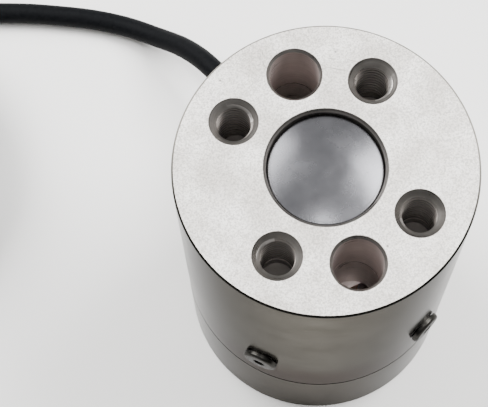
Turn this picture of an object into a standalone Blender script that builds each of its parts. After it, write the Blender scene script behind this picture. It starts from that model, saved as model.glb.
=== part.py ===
"""Reaction torque sensor with a flanged round body, a screened cable and its gland.

Metres, +Z up. The origin is the centre of the underside that the sensor stands on, and +Z is the
sensor's own axis. Azimuths are in degrees from +X, counted towards +Y.
"""

import math

import bmesh
import bpy
from mathutils import Matrix, Vector
from mathutils.geometry import interpolate_bezier

# Overall sizes. UNIT is one sixtieth of the body's diameter, a millimetre on this size of sensor.
BODY_DIAMETER = 0.060
BODY_HEIGHT = 0.0875
BASE_HEIGHT = 0.0255
UNIT = BODY_DIAMETER / 60
PARTING_GAP = 0.0004
EDGE_CHAMFER = 0.0004
BORE_DIAMETER = 23.2 * UNIT
BORE_CHAMFER = 0.0006
CLEARANCE = 0.0003

# Housing: the top plate and the skirt that hangs from it
PLATE_THICKNESS = 0.0163
SKIRT_WALL = 3.2 * UNIT
HUB_GAP = 0.0006
HOUSING_FILLET = 0.0010

# Torsion body: base flange, stem, measuring tube and upper hub, with its inner height's shares
STEM_SHARE = 0.4515
TUBE_SHARE = 0.2423
TUBE_DIAMETER = 33.0 * UNIT
TUBE_FILLET = 0.0012
FLAT_DISTANCE = 15.5 * UNIT
FLAT_WIDTH = 14.0 * UNIT

# Bolt circle, the same at both ends
BOLT_CIRCLE_DIAMETER = 40.5 * UNIT
THREAD_DRILL = 6.8 * UNIT
THREAD_MOUTH = 9.9 * UNIT
BASE_THREAD_DEPTH = 0.0160
THREAD_AZIMUTHS = (45, 135, 225, 315)
DOWEL_DIAMETER = 10.0 * UNIT
DOWEL_MOUTH = 11.15 * UNIT
BASE_DOWEL_DEPTH = 0.0100
DOWEL_AZIMUTHS = (90, 270)

# Domed plugs that close the bore
PLUG_SHEET = 0.0012
PLUG_CROWN_DEPTH = 0.0003
PLUG_RIM_DEPTH = 0.0015
PLUG_SKIRT = 0.0050

# Cap screws that hold the housing to the upper hub
CAP_SCREW_DIAMETER = 4.0 * UNIT
CAP_SCREW_LENGTH = 0.0160
CAP_HEAD_DIAMETER = 7.0 * UNIT
CAP_HEAD_HEIGHT = 0.0040
CAP_SOCKET = 3.0 * UNIT
CAP_SCREW_CIRCLE = 41.5 * UNIT
CAP_SCREW_SPREAD = 13.5
COUNTERBORE_SHARE = 0.43
ACCESS_DIAMETER = CAP_HEAD_DIAMETER + 0.0004
ACCESS_PLUG_LENGTH = 0.0050

# Low-head screws round the skirt
SIDE_SCREW_SHARE = 0.7073
SIDE_SCREW_AZIMUTHS = (47.4, 121.0, 227.4, 301.0)
SIDE_SCREW_DIAMETER = 0.0040
SIDE_SCREW_LENGTH = 0.0100
LOW_HEAD_DIAMETER = 0.0076
LOW_HEAD_HEIGHT = 0.0012
LOW_HEAD_ROUND = 0.0007
LOW_HEAD_SOCKET = 0.0025

# Dust seal between skirt and stem
SEAL_SHARE = 0.195
SEAL_CORD = 0.0012

# Strain gauges, their leads and the terminal board
GAUGE_SHARE = 0.5455
GAUGE_THICKNESS = 0.0003
LEAD_DIAMETER = 0.0008
LEAD_STEP = 0.0030
BOARD_THICKNESS = 0.0016
BOARD_INNER_RADIUS = 18.4 * UNIT
BOARD_EDGE_GAP = 0.0008
BOARD_ARC = 126
BOARD_SCREW_DIAMETER = 0.0020
BOARD_SCREW_LENGTH = 0.0050
BOARD_SCREW_HEAD = 0.0036
BOARD_SCREW_HEAD_HEIGHT = 0.0014
BOARD_SCREW_SPREAD = 55

# Cable gland in the base flange
GLAND_AZIMUTH = 97
GLAND_HEIGHT = 0.0175
SPOT_FACE_DIAMETER = 0.0150
SPOT_FACE_DEPTH = 0.0011
GLAND_THREAD = 0.0100
WASHER_DIAMETER = 0.0140
WASHER_THICKNESS = 0.0010
GLAND_HEX = 0.0140
GLAND_HEX_LENGTH = 0.0030
GLAND_NECK_LENGTH = 0.0036
NUT_HEX = 0.0130
NUT_LENGTH = 0.0056
BUSH_DIAMETER = 0.0074
NOSE_LENGTH = 0.0055
NOSE_DIAMETER = 0.0088
NOSE_TIP_DIAMETER = 0.0066
WIRE_CHANNEL_DIAMETER = 0.0050
CORE_BUNDLE_DIAMETER = 0.0028

# Cable, its coil and its stripped end
CABLE_DIAMETER = 0.0052
ROUTE_STEP = 0.0110
COIL_CENTRE = (-0.1035, 0.0663)
COIL_MEAN_RADIUS = 0.0312
COIL_COLUMNS = 3
COIL_ROWS = 3
COIL_ENTRY_AZIMUTH = 80
COIL_BASE = 0.0014
TAIL_START = 20
TAIL_ARC = 240
TAIL_SLIDE = 50
TIE_AZIMUTHS = (125, 215)
TIE_THICKNESS = 0.0010
TIE_WIDTH = 0.0036
TIE_HEAD = 0.0052
CORE_DIAMETER = 0.0012
CORE_LENGTH = 0.0240
CORE_SPACING = 0.0013
CORE_STEP = 0.0060

# The route of the cable's free stretch, after the gland and before the coil
CABLE_ROUTE = (
    (-0.0087, 0.0559, 0.0160),
    (-0.0132, 0.0654, 0.0111),
    (-0.0193, 0.0734, 0.0057),
    (-0.0261, 0.0799, 0.0031),
    (-0.0333, 0.0843, 0.0027),
    (-0.0414, 0.0880, 0.0027),
    (-0.0485, 0.0909, 0.0027),
    (-0.0559, 0.0934, 0.0027),
    (-0.0660, 0.0963, 0.0030),
)

# Steps round a full turn
ROUND = 72
MEDIUM = 40
FINE = 24
SMALL = 16

# Derived sizes
BODY_RADIUS = BODY_DIAMETER / 2
BORE_RADIUS = BORE_DIAMETER / 2
BOLT_RADIUS = BOLT_CIRCLE_DIAMETER / 2
PLATE_BOTTOM = BODY_HEIGHT - PLATE_THICKNESS
HUB_TOP = PLATE_BOTTOM - CLEARANCE
SKIRT_INNER = BODY_RADIUS - SKIRT_WALL
HUB_RADIUS = SKIRT_INNER - HUB_GAP
INNER_HEIGHT = HUB_TOP - BASE_HEIGHT
STEM_TOP = BASE_HEIGHT + STEM_SHARE * INNER_HEIGHT
HUB_BOTTOM = STEM_TOP + TUBE_SHARE * INNER_HEIGHT
SIDE_SCREW_HEIGHT = BASE_HEIGHT + SIDE_SCREW_SHARE * (STEM_TOP - BASE_HEIGHT)
SEAL_HEIGHT = BASE_HEIGHT + SEAL_SHARE * (STEM_TOP - BASE_HEIGHT)
TUBE_RADIUS = TUBE_DIAMETER / 2
CAP_SCREW_RADIUS = CAP_SCREW_CIRCLE / 2
CAP_SEAT = HUB_BOTTOM + COUNTERBORE_SHARE * (HUB_TOP - HUB_BOTTOM)
CAP_SCREW_AZIMUTHS = (-CAP_SCREW_SPREAD, CAP_SCREW_SPREAD, 180 - CAP_SCREW_SPREAD, 180 + CAP_SCREW_SPREAD)
SEAL_RADIUS = SKIRT_INNER - CLEARANCE - SEAL_CORD / 2
BOARD_BOTTOM = STEM_TOP + CLEARANCE
BOARD_TOP = BOARD_BOTTOM + BOARD_THICKNESS
BOARD_OUTER_RADIUS = HUB_RADIUS - BOARD_EDGE_GAP
BOARD_MIDDLE = (BOARD_INNER_RADIUS + BOARD_OUTER_RADIUS) / 2
BOARD_SCREW_AZIMUTHS = (90 - BOARD_SCREW_SPREAD, 90 + BOARD_SCREW_SPREAD)
GAUGE_HEIGHT = (STEM_TOP + HUB_BOTTOM) / 2
GAUGE_SIDE = GAUGE_SHARE * (HUB_BOTTOM - STEM_TOP)
CABLE_RADIUS = CABLE_DIAMETER / 2
GLAND_BORE = CABLE_RADIUS + CLEARANCE
SPOT_FACE_DISTANCE = BODY_RADIUS - SPOT_FACE_DEPTH
GLAND_SHANK_END = BOARD_MIDDLE + 0.52 * WIRE_CHANNEL_DIAMETER
GLAND_HOLE_END = BOARD_MIDDLE - 0.78 * WIRE_CHANNEL_DIAMETER
WASHER_FACE = SPOT_FACE_DISTANCE + CLEARANCE
HEX_FACE = WASHER_FACE + WASHER_THICKNESS + CLEARANCE
NECK_FACE = HEX_FACE + GLAND_HEX_LENGTH
NECK_END = NECK_FACE + GLAND_NECK_LENGTH
NUT_FACE = NECK_FACE + CLEARANCE
NUT_END = NUT_FACE + NUT_LENGTH
NOSE_FACE = NUT_END + CLEARANCE
NOSE_END = NOSE_FACE + NOSE_LENGTH
COIL_HEIGHT = COIL_ROWS * CABLE_DIAMETER
COIL_HALF_WIDTH = COIL_COLUMNS * CABLE_DIAMETER / 2
COIL_OUTER_TURN = COIL_MEAN_RADIUS + (COIL_COLUMNS - 1) * CABLE_RADIUS
COIL_TOP = COIL_BASE + COIL_HEIGHT
TAIL_HEIGHT = COIL_TOP + CLEARANCE + CABLE_RADIUS


def clear_scene():
    for item in list(bpy.data.objects):
        bpy.data.objects.remove(item, do_unlink=True)


def new_collection(name):
    group = bpy.data.collections.new(name)
    bpy.context.scene.collection.children.link(group)
    return group


clear_scene()
PARTS = new_collection("reaction_torque_sensor")
CUTTERS = new_collection("cutters")


def new_material(name, colour, metallic, roughness):
    made = bpy.data.materials.new(name)
    made.use_nodes = True
    shader = made.node_tree.nodes["Principled BSDF"]
    shader.inputs["Base Color"].default_value = (*colour, 1.0)
    shader.inputs["Metallic"].default_value = metallic
    shader.inputs["Roughness"].default_value = roughness
    return made


STEEL = new_material("turned_stainless_steel", (0.55, 0.53, 0.50), 1.0, 0.30)
POLISHED = new_material("polished_steel_cap", (0.62, 0.62, 0.63), 1.0, 0.15)
SCREW_STEEL = new_material("screw_steel", (0.45, 0.44, 0.43), 1.0, 0.25)
BLACK_RUBBER = new_material("black_rubber", (0.02, 0.02, 0.02), 0.0, 0.6)
GAUGE_FOIL = new_material("gauge_foil", (0.75, 0.45, 0.12), 0.0, 0.4)
BOARD_GREEN = new_material("board_green", (0.02, 0.20, 0.08), 0.0, 0.35)
NICKEL = new_material("nickel_plated_brass", (0.60, 0.58, 0.52), 1.0, 0.2)
JACKET = new_material("cable_jacket", (0.013, 0.013, 0.015), 0.0, 0.5)
TIE_NYLON = new_material("tie_nylon", (0.03, 0.03, 0.03), 0.0, 0.4)
CORE_COLOURS = {
    "red": new_material("core_red", (0.55, 0.02, 0.02), 0.0, 0.4),
    "black": new_material("core_black", (0.02, 0.02, 0.02), 0.0, 0.4),
    "green": new_material("core_green", (0.02, 0.30, 0.06), 0.0, 0.4),
    "white": new_material("core_white", (0.80, 0.80, 0.78), 0.0, 0.4),
}
SCREEN_COPPER = new_material("tinned_screen", (0.60, 0.58, 0.55), 1.0, 0.35)


def add_object(name, data, material, place=Matrix()):
    item = bpy.data.objects.new(name, data)
    PARTS.objects.link(item)
    item.matrix_world = place
    if material:
        data.materials.append(material)
    return item


def on_axis(height=0.0, azimuth=0.0, radius=0.0):
    """A place whose +Z is up, at this azimuth and radius."""
    turn = Matrix.Rotation(math.radians(azimuth), 4, "Z")
    return turn @ Matrix.Translation((radius, 0, height))


def outward(azimuth, height, distance=0.0):
    """A place whose +Z points away from the sensor's axis."""
    turn = Matrix.Rotation(math.radians(azimuth), 4, "Z")
    return turn @ Matrix.Translation((distance, 0, height)) @ Matrix.Rotation(math.radians(90), 4, "Y")


def arc(centre, radius, start, end, steps):
    """Points (r, z) along an arc, angles in degrees from the +r direction."""
    angles = [math.radians(start + (end - start) * i / steps) for i in range(steps + 1)]
    return [(centre[0] + radius * math.cos(a), centre[1] + radius * math.sin(a)) for a in angles]


def turned(name, profile, material, place=Matrix(), segments=ROUND, closed=True):
    """A profile of (r, z) points, top to bottom down its outer side, turned about +Z."""
    mesh = bpy.data.meshes.new(name)
    edges = [(i, i + 1) for i in range(len(profile) - 1)]
    if closed:
        edges.append((len(profile) - 1, 0))
    mesh.from_pydata([(r, 0, z) for r, z in profile], edges, [])
    item = add_object(name, mesh, material, place)
    screw = item.modifiers.new("turn", "SCREW")
    screw.axis = "Z"
    screw.angle = math.tau
    screw.steps = segments
    screw.render_steps = segments
    screw.use_merge_vertices = True
    screw.merge_threshold = 0.00001
    screw.use_smooth_shade = True
    return item


def spun(profile, place, segments):
    """A solid of revolution as a mesh. The profile runs from axis to axis."""
    bm = bmesh.new()
    points = [bm.verts.new((r, 0, z)) for r, z in profile]
    edges = [bm.edges.new(pair) for pair in zip(points, points[1:])]
    bmesh.ops.spin(
        bm,
        geom=points + edges,
        cent=(0, 0, 0),
        axis=(0, 0, 1),
        angle=math.tau,
        steps=segments,
        use_merge=True,
    )
    bmesh.ops.remove_doubles(bm, verts=bm.verts, dist=1e-6)
    bmesh.ops.recalc_face_normals(bm, faces=bm.faces)
    bmesh.ops.transform(bm, matrix=place, verts=bm.verts)
    mesh = bpy.data.meshes.new("spun")
    bm.to_mesh(mesh)
    bm.free()
    return mesh


def cutter(name, solids, segments=FINE):
    """One cutting mesh of several solids of revolution that don't meet, each a profile and a place."""
    whole = bmesh.new()
    for profile, place in solids:
        mesh = spun(profile, place, segments)
        whole.from_mesh(mesh)
        bpy.data.meshes.remove(mesh)
    return cutting_object(name, whole)


def cutting_object(name, bm):
    mesh = bpy.data.meshes.new(name)
    bm.to_mesh(mesh)
    bm.free()
    item = bpy.data.objects.new(name, mesh)
    CUTTERS.objects.link(item)
    item.hide_render = True
    item.display_type = "WIRE"
    return item


def boxes(name, size, places):
    """One cutting mesh of equal boxes."""
    bm = bmesh.new()
    for place in places:
        bmesh.ops.create_cube(bm, size=1, matrix=place @ Matrix.Diagonal((*size, 1)))
    return cutting_object(name, bm)


def prisms(name, across_flats, length, places):
    """One cutting mesh of hexagonal prisms, each starting at its place and running along its +Z."""
    bm = bmesh.new()
    for place in places:
        bmesh.ops.create_cone(
            bm,
            cap_ends=True,
            segments=6,
            radius1=across_flats / math.sqrt(3),
            radius2=across_flats / math.sqrt(3),
            depth=length,
            matrix=place @ Matrix.Translation((0, 0, length / 2)),
        )
    return cutting_object(name, bm)


def cut(item, tool):
    modifier = item.modifiers.new(tool.name, "BOOLEAN")
    modifier.operation = "DIFFERENCE"
    modifier.object = tool
    return item


def keep_inside(item, tool):
    modifier = item.modifiers.new(tool.name, "BOOLEAN")
    modifier.operation = "INTERSECT"
    modifier.object = tool
    return item


def pipe(name, points, diameter, material, sides=2):
    """A round cord through these points, with flat closed ends."""
    curve = bpy.data.curves.new(name, "CURVE")
    curve.dimensions = "3D"
    curve.bevel_depth = diameter / 2
    curve.bevel_resolution = sides
    curve.use_fill_caps = True
    spline = curve.splines.new("POLY")
    spline.points.add(len(points) - 1)
    for point, place in zip(spline.points, points):
        point.co = (*place, 1)
    return add_object(name, curve, material)


def smooth_route(stops, spacing):
    """Points about this far apart on a smooth curve through the stops."""
    stops = [Vector(stop) for stop in stops]
    runs = [b - a for a, b in zip(stops, stops[1:])]
    turns = [a.normalized() * b.length + b.normalized() * a.length for a, b in zip(runs, runs[1:])]
    headings = [run.normalized() for run in (runs[0], *turns, runs[-1])]
    route = [stops[0]]
    for a, run, leaving, arriving in zip(stops, runs, headings, headings[1:]):
        reach = run.length / 3
        count = max(1, round(run.length / spacing))
        b = a + run
        stretch = interpolate_bezier(a, a + leaving * reach, b - arriving * reach, b, count + 1)
        route.extend(stretch[1:])
    return route


def round_hole(radius, low, high):
    """The profile of a plain round cut."""
    return [(0, high), (radius, high), (radius, low), (0, low)]


def mouth_hole(drill, mouth, depth, over=0.001):
    """A drilled hole running down to -depth from a chamfered mouth at z = 0, which its cone goes on past."""
    r = drill / 2
    m = mouth / 2
    return [(0, over), (m + over, over), (r, r - m), (r, -depth), (0, -depth)]


# Housing

def make_housing():
    inner = SKIRT_INNER
    bottom = BASE_HEIGHT + PARTING_GAP
    c = EDGE_CHAMFER
    profile = [
        (BORE_RADIUS + BORE_CHAMFER, BODY_HEIGHT),
        (BODY_RADIUS - c, BODY_HEIGHT),
        (BODY_RADIUS, BODY_HEIGHT - c),
        (BODY_RADIUS, bottom + c / 2),
        (BODY_RADIUS - c / 2, bottom),
        (inner, bottom),
    ]
    profile += arc((inner - HOUSING_FILLET, PLATE_BOTTOM - HOUSING_FILLET), HOUSING_FILLET, 0, 90, 3)
    profile += [(BORE_RADIUS, PLATE_BOTTOM), (BORE_RADIUS, BODY_HEIGHT - BORE_CHAMFER)]
    housing = turned("housing", profile, STEEL)
    through = PLATE_THICKNESS + CLEARANCE / 2
    holes = [
        (mouth_hole(THREAD_DRILL, THREAD_MOUTH, through), on_axis(BODY_HEIGHT, azimuth, BOLT_RADIUS))
        for azimuth in THREAD_AZIMUTHS
    ]
    holes += [
        (mouth_hole(DOWEL_DIAMETER, DOWEL_MOUTH, through), on_axis(BODY_HEIGHT, azimuth, BOLT_RADIUS))
        for azimuth in DOWEL_AZIMUTHS
    ]
    cut(housing, cutter("housing_bolt_holes", holes))
    tapped = CAP_SCREW_DIAMETER / 2 + CLEARANCE
    tapped_end = CAP_SEAT + CAP_SCREW_LENGTH + 2 * CLEARANCE
    tapped_hole = round_hole(tapped, PLATE_BOTTOM - HOUSING_FILLET, tapped_end)
    small = [(tapped_hole, on_axis(0, azimuth, CAP_SCREW_RADIUS)) for azimuth in CAP_SCREW_AZIMUTHS]
    clear = SIDE_SCREW_DIAMETER / 2 + CLEARANCE
    through_skirt = round_hole(clear, inner - SKIRT_WALL / 2, BODY_RADIUS + SKIRT_WALL / 2)
    small += [(through_skirt, outward(azimuth, SIDE_SCREW_HEIGHT)) for azimuth in SIDE_SCREW_AZIMUTHS]
    return cut(housing, cutter("housing_screw_holes", small, SMALL))


# Torsion body

def torsion_profile():
    c = EDGE_CHAMFER
    tube = TUBE_RADIUS
    fillet = TUBE_FILLET
    half_groove = SEAL_CORD / 2 + CLEARANCE
    groove = SEAL_RADIUS - half_groove
    profile = [
        (BORE_RADIUS + c, HUB_TOP),
        (HUB_RADIUS - HOUSING_FILLET, HUB_TOP),
        (HUB_RADIUS, HUB_TOP - HOUSING_FILLET),
        (HUB_RADIUS, HUB_BOTTOM + c),
        (HUB_RADIUS - c, HUB_BOTTOM),
    ]
    profile += arc((tube + fillet, HUB_BOTTOM - fillet), fillet, 90, 180, 4)
    profile += arc((tube + fillet, STEM_TOP + fillet), fillet, 180, 270, 4)
    profile += [
        (HUB_RADIUS - c, STEM_TOP),
        (HUB_RADIUS, STEM_TOP - c),
        (HUB_RADIUS, SEAL_HEIGHT + half_groove),
        (groove, SEAL_HEIGHT + half_groove),
        (groove, SEAL_HEIGHT - half_groove),
        (HUB_RADIUS, SEAL_HEIGHT - half_groove),
        (HUB_RADIUS, BASE_HEIGHT),
        (BODY_RADIUS - c / 2, BASE_HEIGHT),
        (BODY_RADIUS, BASE_HEIGHT - c / 2),
        (BODY_RADIUS, c),
        (BODY_RADIUS - c, 0),
        (BORE_RADIUS + BORE_CHAMFER, 0),
        (BORE_RADIUS, BORE_CHAMFER),
        (BORE_RADIUS, HUB_TOP - c),
    ]
    return profile


def underside(azimuth):
    """A place on the base's underside whose +Z points down, at the bolt circle."""
    return on_axis(0, azimuth, BOLT_RADIUS) @ Matrix.Rotation(math.pi, 4, "X")


def make_torsion_body():
    body = turned("torsion_body", torsion_profile(), STEEL)
    holes = [
        (mouth_hole(THREAD_DRILL, THREAD_MOUTH, BASE_THREAD_DEPTH), underside(azimuth))
        for azimuth in THREAD_AZIMUTHS
    ]
    holes += [
        (mouth_hole(DOWEL_DIAMETER, DOWEL_MOUTH, BASE_DOWEL_DEPTH), underside(azimuth))
        for azimuth in DOWEL_AZIMUTHS
    ]
    holes += [
        (round_hole(DOWEL_DIAMETER / 2, HUB_BOTTOM - EDGE_CHAMFER, HUB_TOP + CLEARANCE / 2),
         on_axis(0, azimuth, BOLT_RADIUS))
        for azimuth in DOWEL_AZIMUTHS
    ]
    cut(body, cutter("base_bolt_holes", holes))
    shank = CAP_SCREW_DIAMETER / 2 + CLEARANCE
    access = ACCESS_DIAMETER / 2
    counterbored = [
        (0, HUB_TOP + CLEARANCE / 2),
        (shank, HUB_TOP + CLEARANCE / 2),
        (shank, CAP_SEAT),
        (access, CAP_SEAT),
        (access, HUB_BOTTOM - EDGE_CHAMFER),
        (0, HUB_BOTTOM - EDGE_CHAMFER),
    ]
    small = []
    for azimuth in CAP_SCREW_AZIMUTHS:
        place = on_axis(0, azimuth, CAP_SCREW_RADIUS)
        small.append((counterbored, place))
        small.append((round_hole(access, -EDGE_CHAMFER, STEM_TOP + EDGE_CHAMFER), place))
    tapped = SIDE_SCREW_DIAMETER / 2 + CLEARANCE
    tapped_end = BODY_RADIUS + CLEARANCE - SIDE_SCREW_LENGTH - 2 * CLEARANCE
    small += [
        (round_hole(tapped, tapped_end, HUB_RADIUS + HUB_GAP / 2), outward(azimuth, SIDE_SCREW_HEIGHT))
        for azimuth in SIDE_SCREW_AZIMUTHS
    ]
    board_hole = BOARD_SCREW_DIAMETER / 2 + CLEARANCE
    board_hole_end = BOARD_TOP + CLEARANCE - BOARD_SCREW_LENGTH - 2 * CLEARANCE
    small += [
        (round_hole(board_hole, board_hole_end, STEM_TOP + EDGE_CHAMFER), on_axis(0, azimuth, BOARD_MIDDLE))
        for azimuth in BOARD_SCREW_AZIMUTHS
    ]
    cut(body, cutter("stem_screw_holes", small, SMALL))
    hole = GLAND_THREAD / 2 + CLEARANCE
    face = SPOT_FACE_DIAMETER / 2
    gland_hole = [
        (0, BODY_RADIUS + WASHER_THICKNESS),
        (face, BODY_RADIUS + WASHER_THICKNESS),
        (face, SPOT_FACE_DISTANCE),
        (hole, SPOT_FACE_DISTANCE),
        (hole, GLAND_HOLE_END),
        (0, GLAND_HOLE_END),
    ]
    cut(body, cutter("gland_hole", [(gland_hole, outward(GLAND_AZIMUTH, GLAND_HEIGHT))]))
    channel = round_hole(WIRE_CHANNEL_DIAMETER / 2, GLAND_HEIGHT, STEM_TOP + EDGE_CHAMFER)
    cut(body, cutter("wire_channel", [(channel, on_axis(0, GLAND_AZIMUTH, BOARD_MIDDLE))], SMALL))
    flat_depth = TUBE_RADIUS
    flat_height = HUB_BOTTOM - STEM_TOP - 2 * (TUBE_FILLET + EDGE_CHAMFER)
    middle = FLAT_DISTANCE + flat_depth / 2
    places = [on_axis(GAUGE_HEIGHT, azimuth, middle) for azimuth in (0, 90, 180, 270)]
    return cut(body, boxes("gauge_flats", (flat_depth, FLAT_WIDTH, flat_height), places))


# Domed plugs

def plug_profile():
    """The plug's section, with its crown up and the bore's edge face at z = 0."""
    outer = BORE_RADIUS - CLEARANCE
    rise = PLUG_RIM_DEPTH - PLUG_CROWN_DEPTH
    edge = outer - PLUG_SHEET / 2
    sphere = (edge**2 + rise**2) / (2 * rise)
    centre = -PLUG_CROWN_DEPTH - sphere
    reach = math.degrees(math.asin(edge / sphere))
    profile = [(0, -PLUG_CROWN_DEPTH)]
    profile += arc((0, centre), sphere, 90, 90 - reach, 6)[1:]
    profile += arc((edge, -PLUG_RIM_DEPTH - PLUG_SHEET / 2), PLUG_SHEET / 2, 60, 0, 2)
    low = -PLUG_RIM_DEPTH - PLUG_SKIRT
    inner = outer - PLUG_SHEET
    profile += [(outer, low), (inner, low)]
    inside = sphere - PLUG_SHEET
    inner_reach = math.degrees(math.asin((inner - PLUG_SHEET / 2) / inside))
    profile += [(inner, -PLUG_RIM_DEPTH - 1.5 * PLUG_SHEET)]
    profile += arc((0, centre), inside, 90 - inner_reach, 90, 4)[:-1]
    profile += [(0, centre + inside)]
    return profile


def make_plugs():
    turned("centre_cap", plug_profile(), POLISHED, on_axis(BODY_HEIGHT), MEDIUM, closed=False)
    turned("base_cap", plug_profile(), POLISHED, Matrix.Rotation(math.pi, 4, "X"), MEDIUM, closed=False)


# Screws

def cap_screw(name, place, diameter, length, head_diameter, head_height, socket):
    """A socket cap screw whose head's seat is at z = 0, with its shank along +Z."""
    r = diameter / 2
    h = head_diameter / 2
    c = head_height / 10
    profile = [
        (0, length),
        (r - c, length),
        (r, length - c),
        (r, 0),
        (h, 0),
        (h, c - head_height),
        (h - c, -head_height),
        (0, -head_height),
    ]
    screw = turned(name, profile, SCREW_STEEL, place, SMALL, closed=False)
    tool_place = place @ Matrix.Translation((0, 0, -head_height - c))
    return cut(screw, prisms(name + "_socket", socket, head_height / 2 + c, [tool_place]))


def make_housing_screws():
    for number, azimuth in enumerate(CAP_SCREW_AZIMUTHS, 1):
        place = on_axis(CAP_SEAT - CLEARANCE, azimuth, CAP_SCREW_RADIUS)
        cap_screw(
            f"housing_screw_{number}",
            place,
            CAP_SCREW_DIAMETER,
            CAP_SCREW_LENGTH,
            CAP_HEAD_DIAMETER,
            CAP_HEAD_HEIGHT,
            CAP_SOCKET,
        )


def low_head_profile():
    """A low-head screw: the head's seat is at z = 0 and its flat face looks along +Z."""
    r = SIDE_SCREW_DIAMETER / 2
    head = LOW_HEAD_DIAMETER / 2
    profile = [(0, LOW_HEAD_HEIGHT)]
    profile += arc((head - LOW_HEAD_ROUND, LOW_HEAD_HEIGHT - LOW_HEAD_ROUND), LOW_HEAD_ROUND, 90, 0, 4)
    profile += [(head, 0), (r, 0)]
    profile += [(r, r / 4 - SIDE_SCREW_LENGTH), (r * 3 / 4, -SIDE_SCREW_LENGTH), (0, -SIDE_SCREW_LENGTH)]
    return profile


def make_side_screws():
    for number, azimuth in enumerate(SIDE_SCREW_AZIMUTHS, 1):
        place = outward(azimuth, SIDE_SCREW_HEIGHT, BODY_RADIUS + CLEARANCE)
        screw = turned(f"side_screw_{number}", low_head_profile(), SCREW_STEEL, place, FINE, closed=False)
        depth = LOW_HEAD_HEIGHT * 0.6
        tool_place = place @ Matrix.Translation((0, 0, LOW_HEAD_HEIGHT - depth))
        cut(screw, prisms(f"side_socket_{number}", LOW_HEAD_SOCKET, depth * 1.2, [tool_place]))


def make_access_plugs():
    r = ACCESS_DIAMETER / 2 - CLEARANCE
    c = EDGE_CHAMFER
    top = ACCESS_PLUG_LENGTH + CLEARANCE
    profile = [(0, top), (r - 2 * c, top), (r, top - 2 * c), (r, CLEARANCE + c), (r - c, CLEARANCE)]
    profile += [(r / 2, CLEARANCE), (r / 2 - c, CLEARANCE + c), (0, CLEARANCE + c)]
    for number, azimuth in enumerate(CAP_SCREW_AZIMUTHS, 1):
        place = on_axis(0, azimuth, CAP_SCREW_RADIUS)
        turned(f"access_plug_{number}", profile, BLACK_RUBBER, place, SMALL, closed=False)


# Seal, gauges and terminal board

def make_seal():
    ring = arc((SEAL_RADIUS, SEAL_HEIGHT), SEAL_CORD / 2, 90, -270, 8)[:-1]
    turned("dust_seal", ring, BLACK_RUBBER, segments=MEDIUM)


def make_gauges():
    for number, azimuth in enumerate((0, 90, 180, 270), 1):
        centre = FLAT_DISTANCE + CLEARANCE + GAUGE_THICKNESS / 2
        mesh = bpy.data.meshes.new(f"strain_gauge_{number}")
        bm = bmesh.new()
        size = Matrix.Diagonal((GAUGE_THICKNESS, GAUGE_SIDE, GAUGE_SIDE, 1))
        bmesh.ops.create_cube(bm, size=1, matrix=size)
        bm.to_mesh(mesh)
        bm.free()
        add_object(f"strain_gauge_{number}", mesh, GAUGE_FOIL, on_axis(GAUGE_HEIGHT, azimuth, centre))


def make_board():
    profile = [
        (BOARD_INNER_RADIUS, BOARD_TOP),
        (BOARD_OUTER_RADIUS, BOARD_TOP),
        (BOARD_OUTER_RADIUS, BOARD_BOTTOM),
        (BOARD_INNER_RADIUS, BOARD_BOTTOM),
    ]
    board = turned("terminal_board", profile, BOARD_GREEN)
    wedge = bmesh.new()
    half = math.radians(BOARD_ARC / 2)
    reach = 2 * BOARD_OUTER_RADIUS
    steps = 8
    fan = [(0, 0)]
    for i in range(steps + 1):
        angle = math.pi / 2 - half + 2 * half * i / steps
        fan.append((reach * math.cos(angle), reach * math.sin(angle)))
    low = BOARD_BOTTOM - BOARD_THICKNESS
    sheet = wedge.faces.new([wedge.verts.new((x, y, low)) for x, y in fan])
    raised = bmesh.ops.extrude_face_region(wedge, geom=[sheet])["geom"]
    moved = [v for v in raised if isinstance(v, bmesh.types.BMVert)]
    bmesh.ops.translate(wedge, vec=(0, 0, 3 * BOARD_THICKNESS), verts=moved)
    bmesh.ops.recalc_face_normals(wedge, faces=wedge.faces)
    keep_inside(board, cutting_object("board_sector", wedge))
    clear = BOARD_SCREW_DIAMETER / 2 + CLEARANCE
    low, high = BOARD_BOTTOM - CLEARANCE, BOARD_TOP + CLEARANCE
    screw_hole = round_hole(clear, low, high)
    core_hole = round_hole(CORE_BUNDLE_DIAMETER / 2 + CLEARANCE, low, high)
    holes = [(screw_hole, on_axis(0, azimuth, BOARD_MIDDLE)) for azimuth in BOARD_SCREW_AZIMUTHS]
    holes.append((core_hole, on_axis(0, GLAND_AZIMUTH, BOARD_MIDDLE)))
    cut(board, cutter("board_holes", holes, SMALL))
    for number, azimuth in enumerate(BOARD_SCREW_AZIMUTHS, 1):
        place = on_axis(BOARD_TOP + CLEARANCE, azimuth, BOARD_MIDDLE) @ Matrix.Rotation(math.pi, 4, "X")
        cap_screw(
            f"board_screw_{number}",
            place,
            BOARD_SCREW_DIAMETER,
            BOARD_SCREW_LENGTH,
            BOARD_SCREW_HEAD,
            BOARD_SCREW_HEAD_HEIGHT,
            BOARD_SCREW_DIAMETER * 0.75,
        )


def at(radius, azimuth, height):
    angle = math.radians(azimuth)
    return Vector((radius * math.cos(angle), radius * math.sin(angle), height))


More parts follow.
